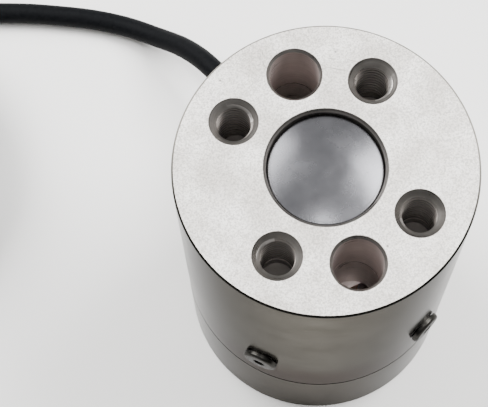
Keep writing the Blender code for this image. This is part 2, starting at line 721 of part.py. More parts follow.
def make_gauge_leads():
    """Each gauge's leads leave its lower edge and run round the tube to the terminal board."""
    above_board = BOARD_TOP + LEAD_DIAMETER / 2 + CLEARANCE
    ends = ((0, 50, 0), (90, 90, 0), (180, 130, 0), (-90, 58, 1))
    for number, (start, end, level) in enumerate(ends, 1):
        lane = BOARD_INNER_RADIUS + LEAD_DIAMETER * (1 + 2 * level)
        height = above_board + 2 * LEAD_DIAMETER * level
        out = FLAT_DISTANCE + 2 * CLEARANCE + GAUGE_THICKNESS + LEAD_DIAMETER / 2
        stops = [at(out, start, GAUGE_HEIGHT - GAUGE_SIDE / 4), at(lane, start, height)]
        turns = max(1, round(abs(end - start) / 12))
        stops += [at(lane, start + (end - start) * i / turns, height) for i in range(1, turns + 1)]
        stops.append(at(lane + 2 * LEAD_DIAMETER, end, above_board))
        pipe(f"gauge_leads_{number}", smooth_route(stops, LEAD_STEP), LEAD_DIAMETER, SCREEN_COPPER, 1)


# Cable gland

def hexagonal(item, name, across_flats, low, high, place):
    """Cuts a turned nut or body to a hexagon between two heights, by keeping what lies in a prism."""
    start = place @ Matrix.Translation((0, 0, low))
    return keep_inside(item, prisms(name, across_flats, high - low, [start]))


def make_gland():
    place = outward(GLAND_AZIMUTH, GLAND_HEIGHT)
    thread = GLAND_THREAD / 2
    corner = GLAND_HEX / math.sqrt(3)
    bush = BUSH_DIAMETER / 2
    seat = bush + CLEARANCE
    seat_start = HEX_FACE + CLEARANCE
    c = EDGE_CHAMFER
    profile = [
        (seat, NECK_END),
        (thread - c, NECK_END),
        (thread, NECK_END - c),
        (thread, NECK_FACE),
        (corner - c, NECK_FACE),
        (corner, NECK_FACE - c),
        (corner, HEX_FACE + c),
        (corner - c, HEX_FACE),
        (thread, HEX_FACE),
        (thread, GLAND_SHANK_END + c),
        (thread - c, GLAND_SHANK_END),
        (GLAND_BORE, GLAND_SHANK_END),
        (GLAND_BORE, seat_start),
        (seat, seat_start),
    ]
    body = turned("gland_body", profile, NICKEL, place, MEDIUM)
    hexagonal(body, "gland_body_hex", GLAND_HEX, GLAND_SHANK_END - c, NECK_END + c, place)
    washer = [
        (WASHER_DIAMETER / 2, WASHER_FACE + WASHER_THICKNESS),
        (WASHER_DIAMETER / 2, WASHER_FACE),
        (thread + CLEARANCE, WASHER_FACE),
        (thread + CLEARANCE, WASHER_FACE + WASHER_THICKNESS),
    ]
    turned("gland_washer", washer, BLACK_RUBBER, place, MEDIUM)
    corner = NUT_HEX / math.sqrt(3)
    shoulder = NECK_END + CLEARANCE
    dome = NUT_END - NUT_FACE
    profile = [
        (seat, NUT_END),
        (corner * 0.68, NUT_END),
        (corner * 0.80, NUT_END - dome * 0.12),
        (corner * 0.87, NUT_END - dome * 0.30),
        (corner, NUT_END - dome * 0.42),
        (corner, NUT_FACE + c),
        (corner - c, NUT_FACE),
        (thread + CLEARANCE, NUT_FACE),
        (thread + CLEARANCE, shoulder),
        (seat, shoulder),
    ]
    nut = turned("gland_nut", profile, NICKEL, place, MEDIUM)
    hexagonal(nut, "gland_nut_hex", NUT_HEX, NUT_FACE - c, NUT_END + c, place)
    nose = NOSE_DIAMETER / 2
    tip = NOSE_TIP_DIAMETER / 2
    profile = [
        (GLAND_BORE, NOSE_END),
        (tip - c / 2, NOSE_END),
        (tip, NOSE_END - c / 2),
        (nose, NOSE_FACE + c),
        (nose - c, NOSE_FACE),
        (bush, NOSE_FACE),
        (bush, seat_start + CLEARANCE),
        (GLAND_BORE, seat_start + CLEARANCE),
    ]
    turned("gland_bush", profile, BLACK_RUBBER, place, FINE)


def make_inner_cable():
    inner_end = GLAND_SHANK_END + GLAND_THREAD / 2
    ends = [at(inner_end, GLAND_AZIMUTH, GLAND_HEIGHT), at(NOSE_END, GLAND_AZIMUTH, GLAND_HEIGHT)]
    pipe("inner_cable", smooth_route(ends, 3 * CABLE_DIAMETER), CABLE_DIAMETER, JACKET)
    lift = CORE_BUNDLE_DIAMETER
    stops = [
        at(inner_end - CLEARANCE, GLAND_AZIMUTH, GLAND_HEIGHT),
        at(BOARD_MIDDLE + lift / 2, GLAND_AZIMUTH, GLAND_HEIGHT + lift / 4),
        at(BOARD_MIDDLE, GLAND_AZIMUTH, GLAND_HEIGHT + 1.5 * lift),
        at(BOARD_MIDDLE, GLAND_AZIMUTH, (GLAND_HEIGHT + STEM_TOP) / 2),
        at(BOARD_MIDDLE, GLAND_AZIMUTH, BOARD_TOP + LEAD_DIAMETER),
    ]
    pipe("core_bundle", smooth_route(stops, 1.5 * lift), CORE_BUNDLE_DIAMETER, CORE_COLOURS["white"])


# Cable, coil, tail and stripped end

def round_coil(azimuth, radius, height):
    return Vector((*COIL_CENTRE, 0)) + at(radius, azimuth, height)


def eased(t):
    t = min(1.0, t)
    return t * t * (3 - 2 * t)


def make_cable():
    """The free stretch runs into the coil along its tangent and stops where it meets the coil's outer face.

    The tail comes up at the coil's inner side, slides to the middle of its top and lies there.
    """
    inner = COIL_MEAN_RADIUS - COIL_HALF_WIDTH
    outer = COIL_MEAN_RADIUS + COIL_HALF_WIDTH
    straight = [at(NOSE_END + CLEARANCE + d, GLAND_AZIMUTH, GLAND_HEIGHT) for d in (0, CABLE_RADIUS)]
    touch = math.sqrt((outer + CLEARANCE) ** 2 - (COIL_OUTER_TURN - CABLE_RADIUS) ** 2)
    entry = round_coil(COIL_ENTRY_AZIMUTH, COIL_OUTER_TURN, COIL_BASE + CABLE_RADIUS)
    entry += touch * at(1, COIL_ENTRY_AZIMUTH - 90, 0)
    pipe("cable_run", smooth_route([*straight, *CABLE_ROUTE, entry], ROUTE_STEP), CABLE_DIAMETER, JACKET, 3)
    c = CABLE_RADIUS
    profile = [
        (inner + c, COIL_TOP),
        (outer - c, COIL_TOP),
        (outer, COIL_TOP - c),
        (outer, COIL_BASE + c),
        (outer - c, COIL_BASE),
        (inner + c, COIL_BASE),
        (inner, COIL_BASE + c),
        (inner, COIL_TOP - c),
    ]
    turned("cable_coil", profile, JACKET, Matrix.Translation((*COIL_CENTRE, 0)), MEDIUM)
    steps = 20
    tail = []
    for i in range(steps + 1):
        turned_by = TAIL_ARC * i / steps
        radius = COIL_MEAN_RADIUS - CABLE_DIAMETER * (1 - eased(turned_by / TAIL_SLIDE))
        tail.append(round_coil(TAIL_START + turned_by, radius, TAIL_HEIGHT))
    pipe("cable_tail", tail, CABLE_DIAMETER, JACKET)


def make_ties():
    """Nylon ties round the coil and the tail that lies on it."""
    width = COIL_HALF_WIDTH + CLEARANCE
    low = COIL_BASE - CLEARANCE - TIE_THICKNESS
    high = TAIL_HEIGHT + CABLE_RADIUS + CLEARANCE + TIE_THICKNESS
    middle = (low + high) / 2
    for number, azimuth in enumerate(TIE_AZIMUTHS, 1):
        bm = bmesh.new()
        outer = (2 * (width + TIE_THICKNESS), TIE_WIDTH, high - low)
        inside = (2 * width, 2 * TIE_WIDTH, high - low - 2 * TIE_THICKNESS)
        place = Matrix.Translation((*COIL_CENTRE, 0)) @ on_axis(middle, azimuth, COIL_MEAN_RADIUS)
        bmesh.ops.create_cube(bm, size=1, matrix=Matrix.Diagonal((*outer, 1)))
        mesh = bpy.data.meshes.new(f"coil_tie_{number}")
        bm.to_mesh(mesh)
        bm.free()
        tie = add_object(f"coil_tie_{number}", mesh, TIE_NYLON, place)
        head = bmesh.new()
        head_at = Matrix.Translation((width + TIE_THICKNESS, 0, 0))
        head_size = Matrix.Diagonal((TIE_HEAD, TIE_HEAD, TIE_HEAD, 1))
        bmesh.ops.create_cube(head, size=1, matrix=place @ head_at @ head_size)
        joined = tie.modifiers.new("head", "BOOLEAN")
        joined.operation = "UNION"
        joined.object = cutting_object(f"tie_head_{number}", head)
        cut(tie, boxes(f"tie_inside_{number}", inside, [place]))


def make_stripped_end():
    """The coloured cores and the screen's drain wire past the jacket's end, laid on the coil."""
    end = TAIL_START + TAIL_ARC
    gap = math.degrees(CLEARANCE / COIL_MEAN_RADIUS)
    turn = math.degrees(CORE_LENGTH / COIL_MEAN_RADIUS)
    names = ("red", "black", "green", "white", "screen")
    steps = 4
    for place, name in enumerate(names):
        offset = (place - (len(names) - 1) / 2) * CORE_SPACING
        points = []
        for i in range(steps + 1):
            spread = 1 + 0.8 * i / steps
            radius = COIL_MEAN_RADIUS + offset * spread
            height = TAIL_HEIGHT - (CABLE_RADIUS - CORE_DIAMETER / 2 - CLEARANCE) * min(1.0, 2 * i / steps)
            points.append(round_coil(end + gap + turn * i / steps, radius, height))
        material = CORE_COLOURS.get(name, SCREEN_COPPER)
        pipe(f"lead_{name}", smooth_route(points, CORE_STEP), CORE_DIAMETER, material, 2)


make_housing()
make_torsion_body()
make_plugs()
make_housing_screws()
make_side_screws()
make_access_plugs()
make_seal()
make_gauges()
make_board()
make_gauge_leads()
make_gland()
make_inner_cable()
make_cable()
make_ties()
make_stripped_end()
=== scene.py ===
# %% [markdown]
# # A reaction torque sensor, rebuilt round its CAD model
#
# The sensor is a short steel cylinder that is bolted between a machine and its load. This file dresses the
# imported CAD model: it rebuilds the turned steel pieces with real threads and fine edges, lays the cable and
# gives every surface a procedural finish. Lengths are in metres, +Z is the sensor's axis, and the origin is
# the centre of the face that it stands on.

import math

import bmesh
import bpy
from mathutils import Matrix, Vector
from mathutils.geometry import interpolate_bezier


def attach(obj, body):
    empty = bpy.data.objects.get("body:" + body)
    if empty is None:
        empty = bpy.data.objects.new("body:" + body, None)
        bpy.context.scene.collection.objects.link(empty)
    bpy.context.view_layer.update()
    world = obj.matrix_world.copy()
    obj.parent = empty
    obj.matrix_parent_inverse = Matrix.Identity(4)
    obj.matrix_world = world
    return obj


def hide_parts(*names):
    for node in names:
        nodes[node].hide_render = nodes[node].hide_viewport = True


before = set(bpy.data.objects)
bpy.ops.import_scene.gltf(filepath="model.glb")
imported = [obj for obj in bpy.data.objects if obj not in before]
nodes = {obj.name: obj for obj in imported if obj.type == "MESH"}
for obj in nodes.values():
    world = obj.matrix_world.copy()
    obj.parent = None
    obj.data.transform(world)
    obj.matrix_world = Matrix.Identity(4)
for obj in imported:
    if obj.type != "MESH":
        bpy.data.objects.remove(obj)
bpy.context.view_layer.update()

# %% [markdown]
# ## The camera
#
# The camera looks down on the sensor from 72 degrees above the table, close enough that the far rim is
# clearly smaller than the near one. Its place and its two axes are written out, because a steep close view
# is easier to set that way than with a tracked target.

# %% The camera
CAMERA_PLACE = Vector((-0.03939, -0.09324, 0.37196))
CAMERA_RIGHT = Vector((0.956399, -0.291460, -0.018731))
CAMERA_UP = Vector((0.282577, 0.907227, 0.311608))
CAMERA_LENS = 115.08

camera_data = bpy.data.cameras.new("camera")
camera_data.sensor_width = 36
camera_data.lens = CAMERA_LENS
camera_data.clip_start = 0.01
camera = bpy.data.objects.new("camera", camera_data)
bpy.context.scene.collection.objects.link(camera)
turn = Matrix((CAMERA_RIGHT, CAMERA_UP, CAMERA_RIGHT.cross(CAMERA_UP))).transposed()
camera.matrix_world = Matrix.Translation(CAMERA_PLACE) @ turn.to_4x4()
bpy.context.scene.camera = camera
print("camera", CAMERA_LENS, "mm, at", tuple(CAMERA_PLACE))

# %% [markdown]
# ## The cable's route
#
# The cable is a fixed length of something flexible, so its centreline is settled before anything else. It
# leaves the gland level, sinks to the table under its own weight, and what the picture doesn't show is
# wound into nine turns, three beside each other in three layers, with the end laid on top. Each turn steps
# sideways in one place and climbs in another, so that no turn crosses another one at the same height.

# %% Cable sizes and route
GLAND_AZIMUTH = 97
GLAND_HEIGHT = 0.0175
NOSE_END = 0.0452
CABLE_DIAMETER = 0.0052
CABLE_RADIUS = CABLE_DIAMETER / 2
CLEARANCE = 0.0003
COIL_CENTRE = Vector((-0.1035, 0.0663, 0))
COIL_MEAN_RADIUS = 0.0312
COIL_BASE = 0.0014
COIL_ENTRY_AZIMUTH = 80
COLUMNS, ROWS = 3, 3
TAIL_ARC = 180
ROUTE_SPACING = 0.003
COIL_STEP = 6
COIL_TOP = COIL_BASE + ROWS * CABLE_DIAMETER
TAIL_HEIGHT = COIL_TOP + CLEARANCE + CABLE_RADIUS
CABLE_ROUTE = (
    (-0.0087, 0.0559, 0.0160),
    (-0.0132, 0.0654, 0.0111),
    (-0.0193, 0.0734, 0.0057),
    (-0.0261, 0.0799, 0.0031),
    (-0.0333, 0.0843, 0.0027),
    (-0.0414, 0.0880, 0.0027),
    (-0.0485, 0.0909, 0.0027),
    (-0.0559, 0.0934, 0.0027),
    (-0.0660, 0.0963, 0.0030),
)


def at(radius, azimuth, height):
    """A point at this distance and azimuth from the sensor's axis."""
    angle = math.radians(azimuth)
    return Vector((radius * math.cos(angle), radius * math.sin(angle), height))


def smooth_route(stops, spacing):
    """Points about this far apart on a smooth curve through the stops."""
    stops = [Vector(stop) for stop in stops]
    runs = [b - a for a, b in zip(stops, stops[1:])]
    turns = [a.normalized() * b.length + b.normalized() * a.length for a, b in zip(runs, runs[1:])]
    headings = [run.normalized() for run in (runs[0], *turns, runs[-1])]
    route = [stops[0]]
    for a, run, leaving, arriving in zip(stops, runs, headings, headings[1:]):
        reach = run.length / 3
        count = max(1, round(run.length / spacing))
        b = a + run
        stretch = interpolate_bezier(a, a + leaving * reach, b - arriving * reach, b, count + 1)
        route.extend(stretch[1:])
    return route


def eased(t):
    """A step from 0 to 1 that starts and ends slowly."""
    t = min(1.0, max(0.0, t))
    return t * t * (3 - 2 * t)


print("cable:", CABLE_DIAMETER, "m thick, with", len(CABLE_ROUTE), "stops on the way to its coil")

# %% [markdown]
# ## The coil's turns
#
# A turn is a circle at one radius and height. It slides over to the next column, or climbs to the next
# layer, within a short arc that is the same for all turns, as a cable does when it is wound by hand round a
# spool.

# %% The coil's turns
CLIMB_FROM, SLIDE_FROM, STEP_ARC = 255, 300, 50


def turn_place(number):
    """The radius and height of one turn. Layers run inwards and outwards by turns; the tail is last."""
    if number == COLUMNS * ROWS:
        return COIL_MEAN_RADIUS, TAIL_HEIGHT
    row, column = divmod(number, COLUMNS)
    if row % 2:
        column = COLUMNS - 1 - column
    radius = COIL_MEAN_RADIUS + ((COLUMNS - 1) / 2 - column) * CABLE_DIAMETER
    return radius, COIL_BASE + CABLE_RADIUS + row * CABLE_DIAMETER


def on_coil(degrees):
    """The centreline's point this many degrees past the coil's entry."""
    number = min(int(degrees // 360), COLUMNS * ROWS)
    radius, height = turn_place(number)
    within = degrees - 360 * number
    if number < COLUMNS * ROWS:
        next_radius, next_height = turn_place(number + 1)
        radius += (next_radius - radius) * eased((within - SLIDE_FROM) / STEP_ARC)
        height += (next_height - height) * eased((within - CLIMB_FROM) / STEP_ARC)
    return COIL_CENTRE + at(radius, COIL_ENTRY_AZIMUTH + degrees, height)


outer_turn = COIL_MEAN_RADIUS + (COLUMNS - 1) / 2 * CABLE_DIAMETER
ring_outer = COIL_MEAN_RADIUS + COLUMNS * CABLE_RADIUS
touch = math.sqrt((ring_outer + CLEARANCE) ** 2 - (outer_turn - CABLE_RADIUS) ** 2)
cable_exit = at(NOSE_END, GLAND_AZIMUTH, GLAND_HEIGHT)
straight_out = [at(NOSE_END + CLEARANCE + d, GLAND_AZIMUTH, GLAND_HEIGHT) for d in (0, CABLE_RADIUS)]
coil_meeting = on_coil(0) + touch * at(1, COIL_ENTRY_AZIMUTH - 90, 0)
stops = [cable_exit, *straight_out[1:], *CABLE_ROUTE, coil_meeting, on_coil(0)]
free_stretch = smooth_route(stops, ROUTE_SPACING)
coil_degrees = 360 * COLUMNS * ROWS + TAIL_ARC
coil_steps = round(coil_degrees / COIL_STEP)
centreline = free_stretch + [on_coil(coil_degrees * i / coil_steps) for i in range(1, coil_steps + 1)]
cable_length = sum((b - a).length for a, b in zip(centreline, centreline[1:]))
print("cable length", round(cable_length, 3), "m in", len(centreline), "points")

# %% [markdown]
# ## Helpers for materials
#
# Colours are read as the hex values that a colour picker shows, and turned into the linear values that the
# renderer works in. One small function adds a shader node with its settings and inputs, and hands back the
# output that the next node reads, so a material is a list of what happened to its surface.


# %% Colour and node helpers
COORDINATES = "ShaderNodeTexCoord"
MAPPING = "ShaderNodeMapping"
SEPARATE = "ShaderNodeSeparateXYZ"
NOISE = "ShaderNodeTexNoise"
CELLS = "ShaderNodeTexVoronoi"
MAP = "ShaderNodeMapRange"
MIX = "ShaderNodeMix"
MATHS = "ShaderNodeMath"
VECTORS = "ShaderNodeVectorMath"
BUMP = "ShaderNodeBump"
COLOURS = {"data_type": "RGBA"}
TIMES = {"operation": "MULTIPLY"}
PLUS = {"operation": "ADD"}


def linear(hex_colour):
    """A picked sRGB colour as the renderer's linear colour with alpha."""
    channels = [int(hex_colour[i : i + 2], 16) / 255 for i in (1, 3, 5)]
    turned = [c / 12.92 if c <= 0.04045 else ((c + 0.055) / 1.055) ** 2.4 for c in channels]
    return (*turned, 1.0)


def node(tree, kind, out=0, settings=None, **inputs):
    """Adds a node and returns one of its outputs. An input is a value or a socket, i6 the seventh."""
    made = tree.nodes.new(kind)
    for name, value in (settings or {}).items():
        setattr(made, name, value)
    for name, value in inputs.items():
        socket = made.inputs[int(name[1:])] if name[1:].isdigit() else made.inputs[name]
        if isinstance(value, bpy.types.NodeSocket):
            tree.links.new(value, socket)
        else:
            socket.default_value = value
    return made.outputs[out]


def new_material(name, **shader_values):
    """A material, its node tree and its Principled BSDF, whose own sockets take these values."""
    made = bpy.data.materials.new(name)
    made.use_nodes = True
    tree = made.node_tree
    shader = tree.nodes["Principled BSDF"]
    for socket, value in shader_values.items():
        shader.inputs[socket.replace("_", " ")].default_value = value
    return made, tree, shader


def surface(tree, shader, colour, rough, normal):
    """Links what varies over a surface to its shader."""
    tree.links.new(colour, shader.inputs["Base Color"])
    tree.links.new(rough, shader.inputs["Roughness"])
    tree.links.new(normal, shader.inputs["Normal"])


# %% [markdown]
# ## The ground load face
#
# The sensor is turned from stainless steel. Its load face is ground flat and then lightly blasted, which
# scatters light evenly and leaves a fine grit, cloudy stains, small pits and a few handling scratches. Each
# scratch is a short line, so its mask comes from the distance to that line: that stays sharp at any
# distance, where a painted picture would blur.

# %% The ground load face
# Blasting leaves grains of about 0.1 mm. They are drawn three times as coarse, because finer ones don't show.
GRIT = 0.00032
STAIN = 0.007
PIT_SPACING = 0.0055
# A real scratch is some 0.05 mm wide. It is drawn wider for the same reason.
SCRATCH_WIDTH = 0.00016
SCRATCHES = (
    ((-0.0046, 0.0269), (-0.0047, 0.0259)),
    ((-0.0052, 0.0262), (-0.0056, 0.0253)),
    ((-0.0065, 0.0243), (-0.0058, 0.0243)),
    ((-0.0052, 0.0246), (-0.005, 0.0233)),
    ((0.0108, 0.0203), (0.0126, 0.0191)),
    ((0.007, 0.0196), (0.0104, 0.0177)),
    ((0.0076, 0.0215), (0.0087, 0.0209)),
)


def scratch_mask(tree, place):
    """1 on the handling scratches and 0 off them, from the distance to each scratch's line."""
    flat = node(tree, VECTORS, 0, TIMES, i0=place, i1=(1, 1, 0))
    mask = None
    for start, end in SCRATCHES:
        run = Vector((*end, 0)) - Vector((*start, 0))
        along = run.normalized()
        side = Vector((-along.y, along.x, 0))
        middle = (Vector((*end, 0)) + Vector((*start, 0))) / 2
        away = node(tree, VECTORS, 0, {"operation": "SUBTRACT"}, i0=flat, i1=middle)
        offsets = []
        for direction, half in ((side, SCRATCH_WIDTH / 2), (along, run.length / 2)):
            dot = node(tree, VECTORS, "Value", {"operation": "DOT_PRODUCT"}, i0=away, i1=direction)
            size = node(tree, MATHS, 0, {"operation": "ABSOLUTE"}, i0=dot)
            offsets.append(node(tree, MAP, i0=size, i1=0.5 * half, i2=1.5 * half, i3=1.0, i4=0.0))
        here = node(tree, MATHS, 0, TIMES, i0=offsets[0], i1=offsets[1])
        mask = here if mask is None else node(tree, MATHS, 0, {"operation": "MAXIMUM"}, i0=mask, i1=here)
    return mask


def ground_steel():
    """Blasted stainless steel. It scatters light like a pale paint, so half of it is diffuse here."""
    made, tree, shader = new_material("ground_stainless_steel", Metallic=0.45)
    place = node(tree, COORDINATES, "Object")
    grit = node(tree, NOISE, "Fac", Vector=place, Scale=1 / GRIT, Detail=2.0, Roughness=0.6)
    stain = node(tree, NOISE, "Fac", Vector=place, Scale=1 / STAIN, Detail=4.0, Roughness=0.5)
    cloudy = node(tree, MAP, i0=stain, i1=0.35, i2=0.65)
    tone = node(tree, MIX, 2, COLOURS, i0=cloudy, i6=linear("#DCD7D0"), i7=linear("#F8F5F0"))
    dark_grit = node(tree, MAP, i0=grit, i1=0.36, i2=0.60, i3=0.60, i4=0.0)
    gritty = node(tree, MIX, 2, COLOURS, i0=dark_grit, i6=tone, i7=linear("#8F8A84"))
    pits = node(tree, CELLS, "Distance", Vector=place, Scale=1 / PIT_SPACING, Randomness=1.0)
    pitted = node(tree, MAP, i0=pits, i1=0.030, i2=0.055, i3=0.75, i4=0.0)
    speckled = node(tree, MIX, 2, COLOURS, i0=pitted, i6=gritty, i7=linear("#5C5652"))
    broken = node(tree, MAP, i0=grit, i1=0.35, i2=0.6, i3=0.25, i4=0.8)
    scratched = node(tree, MATHS, 0, TIMES, i0=scratch_mask(tree, place), i1=broken)
    colour = node(tree, MIX, 2, COLOURS, i0=scratched, i6=speckled, i7=linear("#6A645E"))
    rough = node(tree, MAP, i0=stain, i1=0.3, i2=0.7, i3=0.42, i4=0.52)
    bump = node(tree, BUMP, Strength=0.30, Distance=0.0001, Height=grit)
    surface(tree, shader, colour, rough, bump)
    return made


ground = ground_steel()
print("load face:", len(SCRATCHES), "scratches on", ground.name)

# %% [markdown]
# ## The polished outside and the holes
#
# The outside was turned and polished, so it mirrors the table, with faint rings from the tool. The holes
# keep more of the tool's marks and a thin brownish film of oil. All of them are the same steel, so one
# recipe makes them: noise squeezed along Z draws the rings, and a soft cloud of noise lets gloss and tone
# drift.

# %% The polished outside and the holes
# A finishing cut leaves rings 0.1 mm apart. They are drawn 0.35 mm apart, because finer ones don't show.
TURNING_PITCH = 0.00035
RING_WANDER = 1 / 30
CLOUD = 1 / 120
# Painted shade low on the skirt, standing for the shaded floor that the polished wall mirrors there: the
# height where it starts, the one where it is full, and its colour.
SKIRT_PAINTED_SHADE = (0.0450, 0.0350, "#7E7773")
SHADE_EDGE_WAVE = 0.003


def turned_steel(name, bright, dim, roughness, ring_depth, metallic, edge_tint, skirt_shade=None):
    """Turned steel: tool rings along Z and soft streaks round the wall, and painted shade low down when it is
    given.
    """
    made, tree, shader = new_material(name, Metallic=metallic, Specular_Tint=(*[edge_tint] * 3, 1))
    place = node(tree, COORDINATES, "Object")
    squeezed = node(tree, MAPPING, Vector=place, Scale=(1 / RING_WANDER, 1 / RING_WANDER, 1 / TURNING_PITCH))
    rings = node(tree, NOISE, "Fac", Vector=squeezed, Scale=1.0, Detail=2.0)
    cloud = node(tree, NOISE, "Fac", Vector=place, Scale=1 / CLOUD, Detail=4.0, Roughness=0.6)
    ring_share = node(tree, MATHS, 0, TIMES, i0=rings, i1=0.4)
    cloud_share = node(tree, MATHS, 0, TIMES, i0=cloud, i1=0.6)
    drift = node(tree, MATHS, 0, PLUS, i0=ring_share, i1=cloud_share)
    tone = node(tree, MAP, i0=drift, i1=0.35, i2=0.65)
    colour = node(tree, MIX, 2, COLOURS, i0=tone, i6=linear(dim), i7=linear(bright))
    # Painted shade: the colour darkens down the skirt with a wavy edge, standing for the shaded floor that
    # the wall mirrors.
    if skirt_shade:
        top, bottom, shade_colour = skirt_shade
        height = node(tree, SEPARATE, "Z", Vector=place)
        wave = node(tree, MATHS, 0, TIMES, i0=cloud, i1=SHADE_EDGE_WAVE)
        wavy = node(tree, MATHS, 0, PLUS, i0=height, i1=wave)
        cover = node(tree, MAP, i0=wavy, i1=top, i2=bottom)
        colour = node(tree, MIX, 2, COLOURS, i0=cover, i6=colour, i7=linear(shade_colour))
    rough = node(tree, MAP, i0=drift, i1=0.3, i2=0.7, i3=roughness * 0.8, i4=roughness * 1.3)
    bump = node(tree, BUMP, Strength=ring_depth, Distance=0.00005, Height=rings)
    surface(tree, shader, colour, rough, bump)
    return made


# Polished steel mirrors its surroundings. Its low edge tint keeps the steeply seen wall dark, and painted
# shade darkens the skirt towards the parting gap.
polished = turned_steel("polished_stainless_steel", "#918E88", "#84817B", 0.14, 0.05, 1.0, 0.25, SKIRT_PAINTED_SHADE)
polished_base = turned_steel("polished_stainless_flange", "#948F89", "#87837D", 0.14, 0.05, 1.0, 0.25)
# A drilled wall is duller, with deeper rings, and the oil in it gives it a warm, half-matt look.
bored = turned_steel("bored_steel", "#CBBFBB", "#A99D99", 0.30, 0.3, 0.45, 1.0)
# Thread flanks are darkened with painted shade, standing for the shade deep in the tapped holes, so only
# their crests catch the light.
tapped_painted_shade = turned_steel("tapped_steel_painted_shade", "#6E6965", "#4E4945", 0.34, 0.3, 0.80, 1.0)
# A countersink chatters, which gives its cone coarse rings and a satin look.
countersunk = turned_steel("countersunk_steel", "#A09C98", "#807C78", 0.30, 0.6, 0.92, 1.0)
FINISHES = (polished, ground, bored, tapped_painted_shade, countersunk, polished_base)
print("steel finishes:", ", ".join(finish.name for finish in FINISHES))

# %% [markdown]
# ## Rubber, plastics and the cable's jacket
#
# Moulded and extruded polymers differ mostly in sheen: the PVC jacket is quite matt, rubber has a dull shine
# and nylon is smoother. One recipe does them all, from a colour, a gloss and the size of the grain. Its noise
# makes the paler, duller spots that keep a black piece from looking like a hole.


# %% Rubber, plastics and the cable's jacket
def mottled(tree, shader, grain, detail, tones, gloss, relief, depth):
    """Noise of this grain, in metres, moves tone and roughness between two values and gives a fine relief."""
    place = node(tree, COORDINATES, "Object")
    noise = node(tree, NOISE, "Fac", Vector=place, Scale=1 / grain, Detail=detail, Roughness=0.6)
    spots = node(tree, MAP, i0=noise, i1=0.3, i2=0.7)
    colour = node(tree, MIX, 2, COLOURS, i0=spots, i6=tones[0], i7=tones[1])
    rough = node(tree, MAP, i0=noise, i1=0.3, i2=0.7, i3=gloss[0], i4=gloss[1])
    bump = node(tree, BUMP, Strength=relief, Distance=depth, Height=noise)
    surface(tree, shader, colour, rough, bump)


def grained(name, colour, roughness, grain, relief, shine=0.5):
    """A moulded or extruded polymer with a fine grain."""
    made, tree, shader = new_material(name, Specular_IOR_Level=shine)
    base = linear(colour)
    paler = (*[min(1.0, c * 1.35 + 0.002) for c in base[:3]], 1.0)
    mottled(tree, shader, grain, 3.0, (base, paler), (roughness * 0.9, roughness * 1.1), relief, 0.0001)
    return made


# Extruded PVC: nearly black, matt, with hardly any highlight along its top.
jacket = grained("pvc_cable_jacket", "#07080A", 0.60, 0.0008, 0.10, 0.05)
# Moulded nitrile rubber: a touch paler and quite dull.
rubber = grained("nitrile_rubber", "#17171A", 0.62, 0.0006, 0.15)
# Moulded nylon: a satin sheen with small soft highlights.
nylon = grained("black_nylon", "#1B1B1D", 0.38, 0.0010, 0.08)
# Solder resist on glass fibre and polyimide foil: both smooth, with their own deep colour.
board_green = grained("glass_fibre_board", "#1C5A34", 0.35, 0.0009, 0.05)
gauge_foil = grained("polyimide_gauge_foil", "#B9772C", 0.35, 0.0007, 0.05)
# Core insulation: glossy extruded PVC in the usual bridge colours.
CORE_HEX = {"red": "#B3231F", "black": "#1A1A1B", "green": "#1F7F3C", "white": "#E6E4DE"}
core_colours = {
    colour: grained(f"{colour}_core_pvc", dye, 0.32, 0.0008, 0.05) for colour, dye in CORE_HEX.items()
}
print("core colours:", ", ".join(core_colours))

# %% [markdown]
# ## Small metal parts
#
# Screws, gland, plugs and wire are metal all through, so they differ in colour, gloss and the size of the
# patches in which both drift. Nickel plating is yellower and brighter than steel, and black oxide is dark
# but still shines where it is seen at a flat angle.


# %% Small metal parts
def small_metal(name, bright, dim, roughness, grain, edge_tint=1.0, relief=0.05):
    """Metal of small turned or cast parts, with a soft variation of its tone and gloss."""
    made, tree, shader = new_material(name, Metallic=1.0, Specular_Tint=(*[edge_tint] * 3, 1))
    tones = (linear(dim), linear(bright))
    mottled(tree, shader, grain, 4.0, tones, (roughness * 0.8, roughness * 1.2), relief, 0.00005)
    return made


# Black oxide on a forged screw: dark from above, grey where the eye skims over its face.
screw_steel = small_metal("black_oxide_screw_steel", "#3A3936", "#2A2927", 0.34, 0.0015, 0.6)
# Barrel-plated nickel: bright and warm with crisp highlights.
nickel = small_metal("nickel_plated_brass", "#CFCBC0", "#B5B0A3", 0.18, 0.0020)
# Tinned copper: pale, fine and satin.
tinned = small_metal("tinned_copper_braid", "#C8C4BC", "#98948C", 0.35, 0.0004)
# Pressed and barrel-polished steel: a cool, almost smooth grey that blurs the lights into soft patches.
cap_steel = small_metal("polished_plug_steel", "#646467", "#5E5E61", 0.26, 0.0060, relief=0.005)
print("plain finishes:", len(bpy.data.materials), "materials so far")

# %% [markdown]
# ## Turning and cutting tools
#
# Most pieces are turned, so they start as half a section that is spun round the axis. Holes are cut with
# Boolean differences, the way a drill would make them. A thread is one tooth's outline spun many times
# round while it climbs one pitch a turn, then trimmed flat at both ends.


# %% Spin, cut and keep
def on_axis(height=0.0, azimuth=0.0, radius=0.0):
    """A place whose +Z is up, at this azimuth and radius."""
    return Matrix.Rotation(math.radians(azimuth), 4, "Z") @ Matrix.Translation((radius, 0, height))


def outward(azimuth, height, distance=0.0):
    """A place whose +Z points away from the sensor's axis."""
    turn = Matrix.Rotation(math.radians(azimuth), 4, "Z")
    return turn @ Matrix.Translation((distance, 0, height)) @ Matrix.Rotation(math.pi / 2, 4, "Y")


def arc(centre, radius, start, end, steps):
    """Points (r, z) along an arc, angles in degrees from the +r direction."""
    angles = [math.radians(start + (end - start) * i / steps) for i in range(steps + 1)]
    return [(centre[0] + radius * math.cos(a), centre[1] + radius * math.sin(a)) for a in angles]


